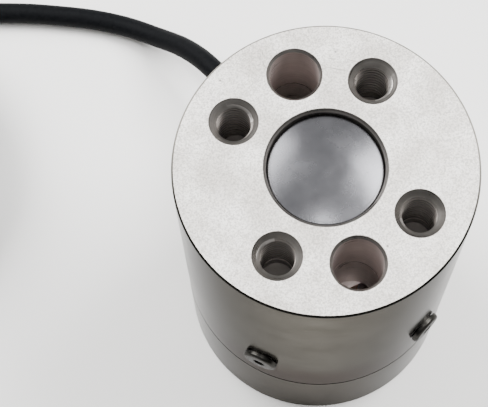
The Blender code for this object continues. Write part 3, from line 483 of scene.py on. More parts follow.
def spin_profile(profile, steps, place=Matrix(), closed=False):
    """A bmesh of a section of (r, z) points spun round +Z. A closed section is a ring's."""
    bm = bmesh.new()
    points = [bm.verts.new((r, 0, z)) for r, z in profile]
    ends = zip(points, points[1:] + points[:1]) if closed else zip(points, points[1:])
    edges = [bm.edges.new(pair) for pair in ends]
    bmesh.ops.spin(
        bm, geom=points + edges, cent=(0, 0, 0), axis=(0, 0, 1), angle=math.tau, steps=steps, use_merge=True
    )
    bmesh.ops.remove_doubles(bm, verts=bm.verts, dist=1e-7)
    bmesh.ops.recalc_face_normals(bm, faces=bm.faces)
    bmesh.ops.transform(bm, matrix=place, verts=bm.verts)
    return bm


def as_object(name, bm, *materials):
    """A finished bmesh as an object at the origin."""
    mesh = bpy.data.meshes.new(name)
    bm.to_mesh(mesh)
    bm.free()
    made = bpy.data.objects.new(name, mesh)
    bpy.context.scene.collection.objects.link(made)
    for material in materials:
        mesh.materials.append(material)
    return made


def joined(parts):
    """Several bmeshes that don't meet as one."""
    whole = bmesh.new()
    for part in parts:
        mesh = bpy.data.meshes.new("part")
        part.to_mesh(mesh)
        part.free()
        whole.from_mesh(mesh)
        bpy.data.meshes.remove(mesh)
    return whole


def carve(piece, cutters, operation="DIFFERENCE"):
    """Applies Booleans with these bmeshes to a piece, one after the other."""
    tools = [as_object(f"{piece.name}_tool_{number}", cutter) for number, cutter in enumerate(cutters)]
    for tool in tools:
        step = piece.modifiers.new(tool.name, "BOOLEAN")
        step.operation = operation
        step.solver = "EXACT"
        step.object = tool
    shaped = bpy.data.meshes.new_from_object(piece.evaluated_get(bpy.context.evaluated_depsgraph_get()))
    piece.modifiers.clear()
    piece.data = shaped
    for tool in tools:
        bpy.data.objects.remove(tool, do_unlink=True)
    return piece


# %% Smooth shading and finishing a piece
def shade(piece, sharp_angle=28):
    """Smooth faces with crisp edges wherever two faces meet at more than this angle, in degrees."""
    bm = bmesh.new()
    bm.from_mesh(piece.data)
    bmesh.ops.remove_doubles(bm, verts=bm.verts, dist=1e-7)
    for face in bm.faces:
        face.smooth = True
    for edge in bm.edges:
        edge.smooth = edge.calc_face_angle(math.pi) < math.radians(sharp_angle)
    bm.to_mesh(piece.data)
    bm.free()
    return piece


def stand_for(piece, *names, slot=None):
    """The piece rides on the sensor and stands for these CAD nodes."""
    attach(piece, "root")
    if names:
        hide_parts(*names)
    print(piece.name, "stands for", ", ".join(names) or "nothing", len(piece.data.polygons), "faces")
    return piece


# %% [markdown]
# ## Real M8 threads
#
# A tapped hole shows as rings of light on the flanks of its thread, so the flat bore of the CAD isn't
# enough. The tooth is the 60 degree vee of an M8 x 1.25 thread. Its inner edge lies inside the drilled
# hole, so the drill leaves the crest.

# %% The thread tool
THREAD_PITCH = 0.00125
THREAD_MAJOR = 0.0040
THREAD_INNER = 0.0033
THREAD_STEPS = 40
THREAD_ANGLE = 60
OVERCUT = 0.001


def thread_tool(start, end, place):
    """An M8 tap's shape between two heights, at a place."""
    flank = (THREAD_MAJOR - THREAD_INNER) * math.tan(math.radians(THREAD_ANGLE / 2))
    root = THREAD_PITCH / 8
    crest = THREAD_PITCH - root - 2 * flank
    tooth = [
        (THREAD_INNER, 0),
        (THREAD_INNER, crest),
        (THREAD_MAJOR, crest + flank),
        (THREAD_MAJOR, crest + flank + root),
        (THREAD_INNER, THREAD_PITCH),
    ]
    turns = math.ceil((end - start) / THREAD_PITCH) + 3
    bm = bmesh.new()
    points = [bm.verts.new((r, 0, z + start - 2 * THREAD_PITCH)) for r, z in tooth]
    edges = [bm.edges.new(pair) for pair in zip(points, points[1:])]
    bmesh.ops.spin(
        bm,
        geom=points + edges,
        cent=(0, 0, 0),
        axis=(0, 0, 1),
        dvec=(0, 0, THREAD_PITCH / THREAD_STEPS),
        angle=math.tau * turns,
        steps=THREAD_STEPS * turns,
    )
    bmesh.ops.remove_doubles(bm, verts=bm.verts, dist=1e-6)
    for height, side in ((start, -1), (end, 1)):
        geometry = bm.verts[:] + bm.edges[:] + bm.faces[:]
        bmesh.ops.bisect_plane(
            bm, geom=geometry, plane_co=(0, 0, height), plane_no=(0, 0, side), clear_outer=True
        )
    bmesh.ops.holes_fill(bm, edges=[e for e in bm.edges if e.is_boundary], sides=0)
    bmesh.ops.recalc_face_normals(bm, faces=bm.faces)
    bmesh.ops.transform(bm, matrix=place, verts=bm.verts)
    return bm


def mouth_hole(drill, mouth, depth):
    """The section of a drilled hole with a chamfered mouth at z = 0, running down to -depth."""
    r = drill / 2
    m = mouth / 2
    return [(0, OVERCUT), (m + OVERCUT, OVERCUT), (r, r - m), (r, -depth), (0, -depth)]


def plain_hole(radius, low, high):
    """The section of a straight round cut."""
    return [(0, high), (radius, high), (radius, low), (0, low)]


print("tap: M8, pitch", THREAD_PITCH, "m,", THREAD_STEPS, "steps a turn")


# %% [markdown]
# ## The housing
#
# The housing is one turned piece: a thick plate with the bolt pattern and a thin skirt that hangs from it
# over the measuring tube. The rim's chamfer is only 0.4 mm, but it draws the dark line round the load face,
# so it is modelled. The hole mouths get their 45 degree chamfers from the cutting tool.

# %% Housing sizes
BODY_RADIUS = 0.030
BODY_HEIGHT = 0.0875
BASE_HEIGHT = 0.0255
PARTING_GAP = 0.0004
EDGE_CHAMFER = 0.0004
BORE_RADIUS = 0.0116
BORE_CHAMFER = 0.0006
PLATE_THICKNESS = 0.0163
PLATE_BOTTOM = BODY_HEIGHT - PLATE_THICKNESS
SKIRT_INNER = 0.0268
HOUSING_FILLET = 0.0010
BOLT_RADIUS = 0.02025
THREAD_DRILL = 0.0068
THREAD_MOUTH = 0.0099
THREAD_DEPTH = 0.0140
THREAD_AZIMUTHS = (45, 135, 225, 315)
DOWEL_DIAMETER = 0.0100
DOWEL_MOUTH = 0.01115
DOWEL_AZIMUTHS = (90, 270)
CAP_SCREW_RADIUS = 0.02075
CAP_SCREW_AZIMUTHS = (-13.5, 13.5, 166.5, 193.5)
SIDE_SCREW_HEIGHT = 0.0400
SIDE_SCREW_AZIMUTHS = (47.4, 121.0, 227.4, 301.0)
M4_HOLE_RADIUS = 0.0023
CAP_SCREW_HOLE_END = 0.0796
SIDE_HOLE_INNER = 0.0252
SIDE_HOLE_OUTER = 0.0316
THREAD_START = 0.0009
ROUND = 192
HOLE = 64
SMALL_HOLE = 32
print("housing:", BODY_RADIUS, "m in radius, with a plate", PLATE_THICKNESS, "m thick")


# %% The housing
def housing_section():
    """The plate and its skirt, cut through on one side of the axis."""
    c = EDGE_CHAMFER
    bottom = BASE_HEIGHT + PARTING_GAP
    section = [
        (BORE_RADIUS + BORE_CHAMFER, BODY_HEIGHT),
        (BODY_RADIUS - c, BODY_HEIGHT),
        (BODY_RADIUS, BODY_HEIGHT - c),
        (BODY_RADIUS, bottom + c / 2),
        (BODY_RADIUS - c / 2, bottom),
        (SKIRT_INNER, bottom),
    ]
    corner = (SKIRT_INNER - HOUSING_FILLET, PLATE_BOTTOM - HOUSING_FILLET)
    section += arc(corner, HOUSING_FILLET, 0, 90, 6)
    section += [(BORE_RADIUS, PLATE_BOTTOM), (BORE_RADIUS, BODY_HEIGHT - BORE_CHAMFER)]
    return section


def drilled(profiles, steps):
    """One cutter from several sections, each spun at its own place."""
    return joined([spin_profile(profile, steps, place) for profile, place in profiles])


housing = as_object("housing_steel", spin_profile(housing_section(), ROUND, closed=True), *FINISHES)
drill_depth = PLATE_THICKNESS + CLEARANCE / 2
bolt_holes = [
    (mouth_hole(THREAD_DRILL, THREAD_MOUTH, drill_depth), on_axis(BODY_HEIGHT, azimuth, BOLT_RADIUS))
    for azimuth in THREAD_AZIMUTHS
]
bolt_holes += [
    (mouth_hole(DOWEL_DIAMETER, DOWEL_MOUTH, drill_depth), on_axis(BODY_HEIGHT, azimuth, BOLT_RADIUS))
    for azimuth in DOWEL_AZIMUTHS
]
cap_screw_hole = plain_hole(M4_HOLE_RADIUS, PLATE_BOTTOM - HOUSING_FILLET, CAP_SCREW_HOLE_END)
side_screw_hole = plain_hole(M4_HOLE_RADIUS, SIDE_HOLE_INNER, SIDE_HOLE_OUTER)
screw_holes = [(cap_screw_hole, on_axis(0, azimuth, CAP_SCREW_RADIUS)) for azimuth in CAP_SCREW_AZIMUTHS]
screw_holes += [(side_screw_hole, outward(azimuth, SIDE_SCREW_HEIGHT)) for azimuth in SIDE_SCREW_AZIMUTHS]
taps = joined([
    thread_tool(BODY_HEIGHT - THREAD_DEPTH, BODY_HEIGHT - THREAD_START, on_axis(0, azimuth, BOLT_RADIUS))
    for azimuth in THREAD_AZIMUTHS
])
carve(housing, [drilled(bolt_holes, HOLE), drilled(screw_holes, SMALL_HOLE), taps])
print("housing carved:", len(housing.data.polygons), "faces")


# %% [markdown]
# ## Which finish goes where
#
# Each step of the machining leaves its own surface, so a face's place and slope say which tool made it
# last: the grinder, the lathe, the drill, the tap or the countersink.

# %% Finishes by place
WALL, FACE, BORE, TAPPED_SHADE, MOUTH, FLANGE = range(6)
# How near a height a ground face lies, how far inside its edge a hole's faces end, and a level face's slope.
ON_HEIGHT = 0.00001
HOLE_EDGE = 0.00002
LEVEL = 0.99
SKIRT_SHELL = 0.0010
FLANGE_SHELL = 0.0005


def near_hole(centre, azimuths, reach):
    """True where the point lies within reach of one of the bolt circle's holes."""
    return any((centre.xy - at(BOLT_RADIUS, azimuth, 0).xy).length < reach for azimuth in azimuths)


def hole_finish(centre, normal, depth):
    """The finish inside a bolt circle's hole, this deep below its face, or None outside the holes."""
    if near_hole(centre, THREAD_AZIMUTHS, THREAD_MOUTH / 2 - HOLE_EDGE) and abs(normal.z) < LEVEL:
        return MOUTH if depth < (THREAD_MOUTH - THREAD_DRILL) / 2 else TAPPED_SHADE
    if near_hole(centre, DOWEL_AZIMUTHS, DOWEL_MOUTH / 2 - HOLE_EDGE) and abs(normal.z) < LEVEL:
        return MOUTH if depth < (DOWEL_MOUTH - DOWEL_DIAMETER) / 2 else BORE
    return None


def housing_finish(centre, normal):
    """The load face is ground, the centre bore countersunk, the inside as drilled and the wall polished."""
    inside = hole_finish(centre, normal, BODY_HEIGHT - centre.z)
    if inside is not None:
        return inside
    if centre.z > BODY_HEIGHT - ON_HEIGHT:
        return FACE
    if centre.xy.length < BORE_RADIUS + BORE_CHAMFER:
        return MOUTH
    return BORE if centre.xy.length < BODY_RADIUS - SKIRT_SHELL else WALL


def finish_faces(piece, choose):
    """Gives every face the slot that choose(centre, normal) names, and smooth shading."""
    for face in piece.data.polygons:
        face.material_index = choose(face.center, face.normal)
    return shade(piece)


finish_faces(housing, housing_finish)
stand_for(housing, "housing", slot="turned_stainless_steel")

# %% [markdown]
# ## The torsion body
#
# Under the housing, one piece runs from the mounting flange up through the stem and the thin measuring tube
# to the hub that the housing is screwed to. It twists by a few hundredths of a degree, and the gauges on
# the tube's flats read it. Only the flange shows, below the thin parting gap, but the plain holes look down
# into the hub, so the whole piece is turned and drilled as the CAD has it.

# %% Torsion body sizes
HUB_RADIUS = 0.0262
HUB_TOP = PLATE_BOTTOM - CLEARANCE
HUB_BOTTOM = 0.0570
STEM_TOP = 0.0460
TUBE_RADIUS = 0.0165
TUBE_FILLET = 0.0012
FLAT_DISTANCE = 0.0155
FLAT_WIDTH = 0.0140
FLAT_HEIGHT = 0.0078
FLAT_AZIMUTHS = (0, 90, 180, 270)
SEAL_HEIGHT = 0.0295
SEAL_GROOVE = 0.0250
SEAL_GROOVE_HALF = 0.0009
BASE_THREAD_DEPTH = 0.0160
BASE_DOWEL_DEPTH = 0.0100
CAP_SEAT = 0.06298
ACCESS_RADIUS = 0.0037
GLAND_FACE = 0.0289
GLAND_HOLE_END = 0.0180
BOARD_SCREW_AZIMUTHS = (35, 145)
BOARD_MIDDLE = 0.0219
BOARD_HOLE_RADIUS = 0.0013
BOARD_HOLE_END = 0.0426
SIDE_TAP_INNER = 0.0197
SIDE_TAP_OUTER = 0.0265
GLAND_SEAT_RADIUS = 0.0075
GLAND_HOLE_RADIUS = 0.0053
WIRE_CHANNEL_RADIUS = 0.0025
print("measuring tube:", TUBE_RADIUS, "m in radius,", round(HUB_BOTTOM - STEM_TOP, 4), "m long")


# %% The torsion body's section
def torsion_section():
    """Hub, measuring tube, stem and flange, cut through on one side of the axis."""
    c = EDGE_CHAMFER
    section = [
        (BORE_RADIUS + c, HUB_TOP),
        (HUB_RADIUS - HOUSING_FILLET, HUB_TOP),
        (HUB_RADIUS, HUB_TOP - HOUSING_FILLET),
        (HUB_RADIUS, HUB_BOTTOM + c),
        (HUB_RADIUS - c, HUB_BOTTOM),
    ]
    section += arc((TUBE_RADIUS + TUBE_FILLET, HUB_BOTTOM - TUBE_FILLET), TUBE_FILLET, 90, 180, 8)
    section += arc((TUBE_RADIUS + TUBE_FILLET, STEM_TOP + TUBE_FILLET), TUBE_FILLET, 180, 270, 8)
    section += [
        (HUB_RADIUS - c, STEM_TOP),
        (HUB_RADIUS, STEM_TOP - c),
        (HUB_RADIUS, SEAL_HEIGHT + SEAL_GROOVE_HALF),
        (SEAL_GROOVE, SEAL_HEIGHT + SEAL_GROOVE_HALF),
        (SEAL_GROOVE, SEAL_HEIGHT - SEAL_GROOVE_HALF),
        (HUB_RADIUS, SEAL_HEIGHT - SEAL_GROOVE_HALF),
        (HUB_RADIUS, BASE_HEIGHT),
        (BODY_RADIUS - c / 2, BASE_HEIGHT),
        (BODY_RADIUS, BASE_HEIGHT - c / 2),
        (BODY_RADIUS, c),
        (BODY_RADIUS - c, 0),
        (BORE_RADIUS + BORE_CHAMFER, 0),
        (BORE_RADIUS, BORE_CHAMFER),
        (BORE_RADIUS, HUB_TOP - c),
    ]
    return section


def underside(azimuth):
    """A place on the mounting face whose +Z points down, at the bolt circle."""
    return on_axis(0, azimuth, BOLT_RADIUS) @ Matrix.Rotation(math.pi, 4, "X")


print("torsion body's section:", len(torsion_section()), "points")


# %% The torsion body
torsion_body = as_object("torsion_body_steel", spin_profile(torsion_section(), ROUND, closed=True), *FINISHES)
base_bolt_hole = mouth_hole(THREAD_DRILL, THREAD_MOUTH, BASE_THREAD_DEPTH)
base_dowel_hole = mouth_hole(DOWEL_DIAMETER, DOWEL_MOUTH, BASE_DOWEL_DEPTH)
base_holes = [(base_bolt_hole, underside(azimuth)) for azimuth in THREAD_AZIMUTHS]
base_holes += [(base_dowel_hole, underside(azimuth)) for azimuth in DOWEL_AZIMUTHS]
hub_hole = plain_hole(DOWEL_DIAMETER / 2, HUB_BOTTOM - EDGE_CHAMFER, HUB_TOP + CLEARANCE / 2)
base_holes += [(hub_hole, on_axis(0, azimuth, BOLT_RADIUS)) for azimuth in DOWEL_AZIMUTHS]
counterbored = [
    (0, HUB_TOP + CLEARANCE / 2),
    (M4_HOLE_RADIUS, HUB_TOP + CLEARANCE / 2),
    (M4_HOLE_RADIUS, CAP_SEAT),
    (ACCESS_RADIUS, CAP_SEAT),
    (ACCESS_RADIUS, HUB_BOTTOM - EDGE_CHAMFER),
    (0, HUB_BOTTOM - EDGE_CHAMFER),
]
access = plain_hole(ACCESS_RADIUS, -EDGE_CHAMFER, STEM_TOP + EDGE_CHAMFER)
inner_holes = []
for azimuth in CAP_SCREW_AZIMUTHS:
    place = on_axis(0, azimuth, CAP_SCREW_RADIUS)
    inner_holes += [(counterbored, place), (access, place)]
side_tap = plain_hole(M4_HOLE_RADIUS, SIDE_TAP_INNER, SIDE_TAP_OUTER)
inner_holes += [(side_tap, outward(azimuth, SIDE_SCREW_HEIGHT)) for azimuth in SIDE_SCREW_AZIMUTHS]
board_hole = plain_hole(BOARD_HOLE_RADIUS, BOARD_HOLE_END, STEM_TOP + EDGE_CHAMFER)
inner_holes += [(board_hole, on_axis(0, azimuth, BOARD_MIDDLE)) for azimuth in BOARD_SCREW_AZIMUTHS]
gland_hole = [
    (0, BODY_RADIUS + OVERCUT),
    (GLAND_SEAT_RADIUS, BODY_RADIUS + OVERCUT),
    (GLAND_SEAT_RADIUS, GLAND_FACE),
    (GLAND_HOLE_RADIUS, GLAND_FACE),
    (GLAND_HOLE_RADIUS, GLAND_HOLE_END),
    (0, GLAND_HOLE_END),
]
wire_channel = plain_hole(WIRE_CHANNEL_RADIUS, GLAND_HEIGHT, STEM_TOP + EDGE_CHAMFER)
gland_tool = spin_profile(gland_hole, HOLE, outward(GLAND_AZIMUTH, GLAND_HEIGHT))
channel_tool = spin_profile(wire_channel, SMALL_HOLE, on_axis(0, GLAND_AZIMUTH, BOARD_MIDDLE))
round_tools = [drilled(base_holes, HOLE), drilled(inner_holes, SMALL_HOLE)]
carve(torsion_body, [*round_tools, gland_tool, channel_tool])
print("torsion body carved:", len(torsion_body.data.polygons), "faces")


# %% The gauge flats
def box_tool(places, size):
    """Cubes of this size at these places, in one bmesh."""
    bm = bmesh.new()
    for place in places:
        bmesh.ops.create_cube(bm, size=1, matrix=place @ Matrix.Diagonal((*size, 1)))
    return bm


gauge_height = (STEM_TOP + HUB_BOTTOM) / 2
flat_middle = FLAT_DISTANCE + TUBE_RADIUS / 2
flat_places = [on_axis(gauge_height, azimuth, flat_middle) for azimuth in FLAT_AZIMUTHS]
carve(torsion_body, [box_tool(flat_places, (TUBE_RADIUS, FLAT_WIDTH, FLAT_HEIGHT))])


def torsion_finish(centre, normal):
    """Both mounting faces are ground, the flange's wall is polished and the rest is as turned."""
    inside = hole_finish(centre, normal, centre.z) if centre.z < BASE_HEIGHT else None
    if inside is not None:
        return inside
    if centre.z < ON_HEIGHT or abs(centre.z - BASE_HEIGHT) < ON_HEIGHT:
        return FACE
    # Painted shade: the hub's top, seen at the bottoms of the threaded holes, takes the darkened thread
    # finish, so the hole bottoms look dark.
    if abs(centre.z - HUB_TOP) < ON_HEIGHT:
        return TAPPED_SHADE
    return FLANGE if centre.xy.length > BODY_RADIUS - FLANGE_SHELL else BORE


finish_faces(torsion_body, torsion_finish)
stand_for(torsion_body, "torsion_body", slot="turned_stainless_steel")

# %% [markdown]
# ## The domed plugs
#
# A pressed steel plug closes each end of the bore, like the core plugs of an engine block. Its crown is
# part of a large sphere and stands just below the face, and its rim is turned down into a skirt that grips
# the bore. The section is drawn with arcs, so the crown stays smooth in the reflections.

# %% Plugs
PLUG_RADIUS = BORE_RADIUS - 0.0001
PLUG_SHEET = 0.0012
PLUG_CROWN = 0.0003
PLUG_RIM = 0.0015
PLUG_SKIRT = 0.0050
PLUG_ROUND = 128
# The crown meets the rounded rim at this slope, in degrees from the level.
RIM_FROM = 72


def plug_section():
    """Half of the plug's section, with its crown up and the face of the bore's edge at z = 0."""
    edge = PLUG_RADIUS - PLUG_SHEET / 2
    rise = PLUG_RIM - PLUG_CROWN
    sphere = (edge**2 + rise**2) / (2 * rise)
    centre = -PLUG_CROWN - sphere
    reach = math.degrees(math.asin(edge / sphere))
    section = [(0, -PLUG_CROWN)]
    section += arc((0, centre), sphere, 90, 90 - reach, 28)[1:]
    section += arc((edge, -PLUG_RIM - PLUG_SHEET / 2), PLUG_SHEET / 2, RIM_FROM, 0, 6)
    low = -PLUG_RIM - PLUG_SKIRT
    inner = PLUG_RADIUS - PLUG_SHEET
    section += [(PLUG_RADIUS, low), (inner, low), (inner, -PLUG_RIM - 1.5 * PLUG_SHEET)]
    inside = sphere - PLUG_SHEET
    inner_reach = math.degrees(math.asin((inner - PLUG_SHEET / 2) / inside))
    section += arc((0, centre), inside, 90 - inner_reach, 90, 12)[:-1]
    section += [(0, centre + inside)]
    return section


for name, place in (("centre_cap", on_axis(BODY_HEIGHT)), ("base_cap", Matrix.Rotation(math.pi, 4, "X"))):
    plug = as_object(name + "_steel", spin_profile(plug_section(), PLUG_ROUND, place), cap_steel)
    stand_for(shade(plug), name, slot="polished_steel_cap")

# %% [markdown]
# ## Screws round the skirt
#
# Four M4 screws with low heads stand 1.2 mm proud of the skirt. A low head is a flat disc with a rounded
# edge and a hexagon socket, so the disc is spun and the socket is cut with a six-sided prism.

# %% Low-head screws
LOW_HEAD_RADIUS = 0.0038
LOW_HEAD_HEIGHT = 0.0012
LOW_HEAD_ROUND = 0.0007
LOW_HEAD_SOCKET = 0.0025
SHANK_RADIUS = 0.0020
SHANK_LENGTH = 0.0100
SHANK_TIP = 0.0005
SHANK_TIP_RADIUS = 0.0015
SEATED = 0.00002


def hexagon_tool(across_flats, low, high, place):
    """A six-sided prism between two heights."""
    bm = bmesh.new()
    corner = across_flats / math.sqrt(3)
    middle = place @ Matrix.Translation((0, 0, (low + high) / 2))
    bmesh.ops.create_cone(
        bm, cap_ends=True, segments=6, radius1=corner, radius2=corner, depth=high - low, matrix=middle
    )
    return bm


def low_head_section():
    """The head's seat is at z = 0, and its flat face looks along +Z."""
    corner = (LOW_HEAD_RADIUS - LOW_HEAD_ROUND, LOW_HEAD_HEIGHT - LOW_HEAD_ROUND)
    section = [(0, LOW_HEAD_HEIGHT)]
    section += arc(corner, LOW_HEAD_ROUND, 90, 0, 8)
    section += [(LOW_HEAD_RADIUS, 0), (SHANK_RADIUS, 0)]
    section += [(SHANK_RADIUS, SHANK_TIP - SHANK_LENGTH), (SHANK_TIP_RADIUS, -SHANK_LENGTH)]
    section += [(0, -SHANK_LENGTH)]
    return section


for number, azimuth in enumerate(SIDE_SCREW_AZIMUTHS, 1):
    place = outward(azimuth, SIDE_SCREW_HEIGHT, BODY_RADIUS + SEATED)
    blank = spin_profile(low_head_section(), HOLE, place)
    screw = as_object(f"side_screw_{number}_steel", blank, screw_steel)
    carve(screw, [hexagon_tool(LOW_HEAD_SOCKET, 0.4 * LOW_HEAD_HEIGHT, 1.1 * LOW_HEAD_HEIGHT, place)])
    stand_for(shade(screw), f"side_screw_{number}", slot="screw_steel")

# %% [markdown]
# ## The cable gland
#
# The gland is nickel-plated brass: a hexagon body screwed into the flange over a rubber washer, and a
# hexagon nut with a domed front that squeezes a rubber bush round the cable. A hexagon nut starts as a
# turned blank whose corners are chamfered, and the six flats are what is left inside a prism. The bush's
# nose tapers, which keeps the cable from kinking where it leaves.

# %% Gland sizes
GLAND_HEX = 0.0140
NUT_HEX = 0.0130
GLAND_THREAD = 0.0050
WASHER_RADIUS = 0.0070
HEX_FACE = 0.0300
HEX_END = 0.0335
NECK_END = 0.0371
NUT_FACE = HEX_END + SEATED
NUT_END = 0.0396
SHANK_END = 0.0245
FIT = 0.0001
HEX_INSET = 0.0010
HEX_FALL = 0.0006
NUT_DOME = 0.0022
NUT_DOME_INSET = 0.0034
NUT_DOME_FALL = 0.0026
NOSE_ROUND = 0.0003
CABLE_BORE = CABLE_RADIUS + FIT
BUSH_RADIUS = 0.0037
NOSE_RADIUS = 0.0044
NOSE_TIP = 0.0033
GLAND_ROUND = 96
gland_place = outward(GLAND_AZIMUTH, GLAND_HEIGHT)
print("gland: from", SHANK_END, "to", NOSE_END, "m from the axis")


# %% Gland body and washer
def gland_ring(section, steps):
    """A closed section spun round the gland's own axis."""
    return spin_profile(section, steps, gland_place, closed=True)


def hexagonal(piece, across_flats, low, high):
    """Keeps what lies inside a hexagonal prism, so the chamfered corners curve down onto the flats."""
    return carve(piece, [hexagon_tool(across_flats, low, high, gland_place)], "INTERSECT")


corner = GLAND_HEX / math.sqrt(3)
c = EDGE_CHAMFER
body_section = [
    (BUSH_RADIUS, NECK_END),
    (GLAND_THREAD - c, NECK_END),
    (GLAND_THREAD, NECK_END - c),
    (GLAND_THREAD, HEX_END),
    (corner - HEX_INSET, HEX_END),
    (corner, HEX_END - HEX_FALL),
    (corner, HEX_FACE + HEX_FALL),
    (corner - HEX_INSET, HEX_FACE),
    (GLAND_THREAD, HEX_FACE),
    (GLAND_THREAD, SHANK_END + c),
    (GLAND_THREAD - c, SHANK_END),
    (CABLE_BORE, SHANK_END),
    (CABLE_BORE, HEX_FACE + c),
    (BUSH_RADIUS, HEX_FACE + c),
]
gland_body = as_object("gland_body_nickel", gland_ring(body_section, GLAND_ROUND), nickel)
hexagonal(gland_body, GLAND_HEX, SHANK_END - c, NECK_END + c)
stand_for(shade(gland_body), "gland_body", slot="nickel_plated_brass")
washer_section = arc((WASHER_RADIUS - 0.0003, HEX_FACE - 0.0005), 0.00045, 60, -60, 6)
washer_section += [(GLAND_THREAD + FIT, GLAND_FACE + SEATED), (GLAND_THREAD + FIT, HEX_FACE - SEATED)]
washer = as_object("gland_washer_rubber", gland_ring(washer_section, GLAND_ROUND), rubber)
stand_for(shade(washer), "gland_washer", slot="black_rubber")

# %% Gland nut and bush
corner = NUT_HEX / math.sqrt(3)
dome = arc((corner - NUT_DOME_INSET, NUT_END - NUT_DOME), NUT_DOME, 90, 28, 10)
nut_section = [
    (BUSH_RADIUS + SEATED, NUT_END),
    *dome,
    (corner, NUT_END - NUT_DOME_FALL),
    (corner, NUT_FACE + HEX_FALL),
    (corner - HEX_INSET, NUT_FACE),
    (GLAND_THREAD + FIT, NUT_FACE),
    (GLAND_THREAD + FIT, NECK_END + FIT),
    (BUSH_RADIUS + SEATED, NECK_END + FIT),
]
gland_nut = as_object("gland_nut_nickel", gland_ring(nut_section, GLAND_ROUND), nickel)
hexagonal(gland_nut, NUT_HEX, NUT_FACE - c, NUT_END + c)
stand_for(shade(gland_nut), "gland_nut", slot="nickel_plated_brass")
bush_section = [(CABLE_BORE, NOSE_END)]
bush_section += arc((NOSE_TIP - NOSE_ROUND, NOSE_END - NOSE_ROUND), NOSE_ROUND, 90, 10, 4)
bush_section += arc((NOSE_RADIUS - NOSE_ROUND, NUT_END + 0.0004), NOSE_ROUND, 10, -90, 4)
bush_section += [(BUSH_RADIUS - SEATED, NUT_END + SEATED), (BUSH_RADIUS - SEATED, HEX_FACE + HEX_FALL)]
bush_section += [(CABLE_BORE, HEX_FACE + HEX_FALL)]
bush = as_object("gland_bush_rubber", gland_ring(bush_section, HOLE), rubber)
stand_for(shade(bush), "gland_bush", slot="black_rubber")

# %% [markdown]
# ## The pieces inside
#
# Cap screws, rubber plugs, seal, gauges and the terminal board are already the right shape in the CAD, and
# hardly any of them can be seen, so their solids stay and only get the finish of what they are made of.

# %% Finishes for the pieces that stay as the CAD has them
inside_finishes = {
    "housing_screw": screw_steel,
    "board_screw": screw_steel,
    "access_plug": rubber,
    "dust_seal": rubber,
    "strain_gauge": gauge_foil,
    "gauge_leads": tinned,
    "terminal_board": board_green,
    "core_bundle": core_colours["white"],
    "inner_cable": jacket,
}
dressed = 0
for name, piece in nodes.items():
    for start, finish in inside_finishes.items():
        if name.startswith(start):
            for place in piece.material_slots:
                place.material = finish
            dressed += 1
print(dressed, "inner pieces have their own finish")

# %% [markdown]
# ## The cable and its stripped end
#
# The cable is a curve with a round bevel, so it stays smooth however it turns. Its far end is bare, as
# sensors are supplied: the jacket is cut back, and four coloured cores and the screen's drain wire come
# out. Each core is stripped for its last few millimetres down to tinned strands.


# %% The cable
def cord_curve(name, points, diameter, material, sides):
    """A round cord through these points, with closed ends."""
    curve = bpy.data.curves.new(name, "CURVE")
    curve.dimensions = "3D"
    curve.bevel_depth = diameter / 2
    curve.bevel_resolution = sides
    curve.use_fill_caps = True
    spline = curve.splines.new("POLY")
    spline.points.add(len(points) - 1)
    for point, place in zip(spline.points, points):
        point.co = (*place, 1)
    spline.use_smooth = True
    made = bpy.data.objects.new(name, curve)
    bpy.context.scene.collection.objects.link(made)
    curve.materials.append(material)
    return made


cable = cord_curve("cable", centreline, CABLE_DIAMETER, jacket, 6)
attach(cable, "root")
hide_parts("cable_run", "cable_coil", "cable_tail")
print("cable: one cord through", len(centreline), "points")

# %% The cores and the drain wire
CORE_DIAMETER = 0.0012
CORE_LENGTH = 0.0240
CORE_SPACING = 0.0013
BARE_TIP = 0.0045
CORE_STEPS = 16
TIP_STEPS = 4
STRAND_DIAMETER = 0.0007
CABLE_END = COIL_ENTRY_AZIMUTH + TAIL_ARC


def core_point(place, along):
    """A core's centreline this share of the way from jacket to tip. The cores spread a little and sink."""
    turned = math.degrees(CORE_LENGTH / COIL_MEAN_RADIUS) * along
    radius = COIL_MEAN_RADIUS + place * CORE_SPACING * (1 + 0.8 * along)
    sunk = (CABLE_RADIUS - CORE_DIAMETER / 2 - CLEARANCE) * eased(2 * along)
    return COIL_CENTRE + at(radius, CABLE_END + turned, TAIL_HEIGHT - sunk)


for place, name in enumerate(("red", "black", "green", "white", "screen"), -2):
    bare_from = 1 - BARE_TIP / CORE_LENGTH
    covered = [core_point(place, bare_from * i / CORE_STEPS) for i in range(CORE_STEPS + 1)]
    bare = [core_point(place, bare_from + (1 - bare_from) * i / TIP_STEPS) for i in range(TIP_STEPS + 1)]
    strand = cord_curve(f"strand_{name}", bare, STRAND_DIAMETER, tinned, 3)
    cover = cord_curve(f"core_{name}", covered, CORE_DIAMETER, core_colours.get(name, tinned), 3)
    for piece in (strand, cover):
        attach(piece, "root")
        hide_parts(f"lead_{name}")

# %% [markdown]
# ## The coil's ties
#
# A nylon tie is a strap pulled tight, so its outline is the tightest loop round the cables it holds. All of
# them are the same size, so that loop is straight between their centres and round at its corners. The strap
# is that loop drawn out to its width and given its thickness, and the lock is a block with softened edges.

# %% Ties
TIE_AZIMUTHS = (125, 215)
TIE_THICKNESS = 0.0010
TIE_WIDTH = 0.0036
TIE_LOCK = 0.0048
LOCK_ROUND = 0.0007
STRAP_GAP = 0.00015
LOOP_RADIUS = CABLE_RADIUS + STRAP_GAP
row_low = COIL_BASE + CABLE_RADIUS
row_high = row_low + (ROWS - 1) * CABLE_DIAMETER
loop_corners = [
    Vector((CABLE_DIAMETER, row_low)),
    Vector((CABLE_DIAMETER, row_high)),
    Vector((0, TAIL_HEIGHT)),
    Vector((-CABLE_DIAMETER, row_high)),
    Vector((-CABLE_DIAMETER, row_low)),
]


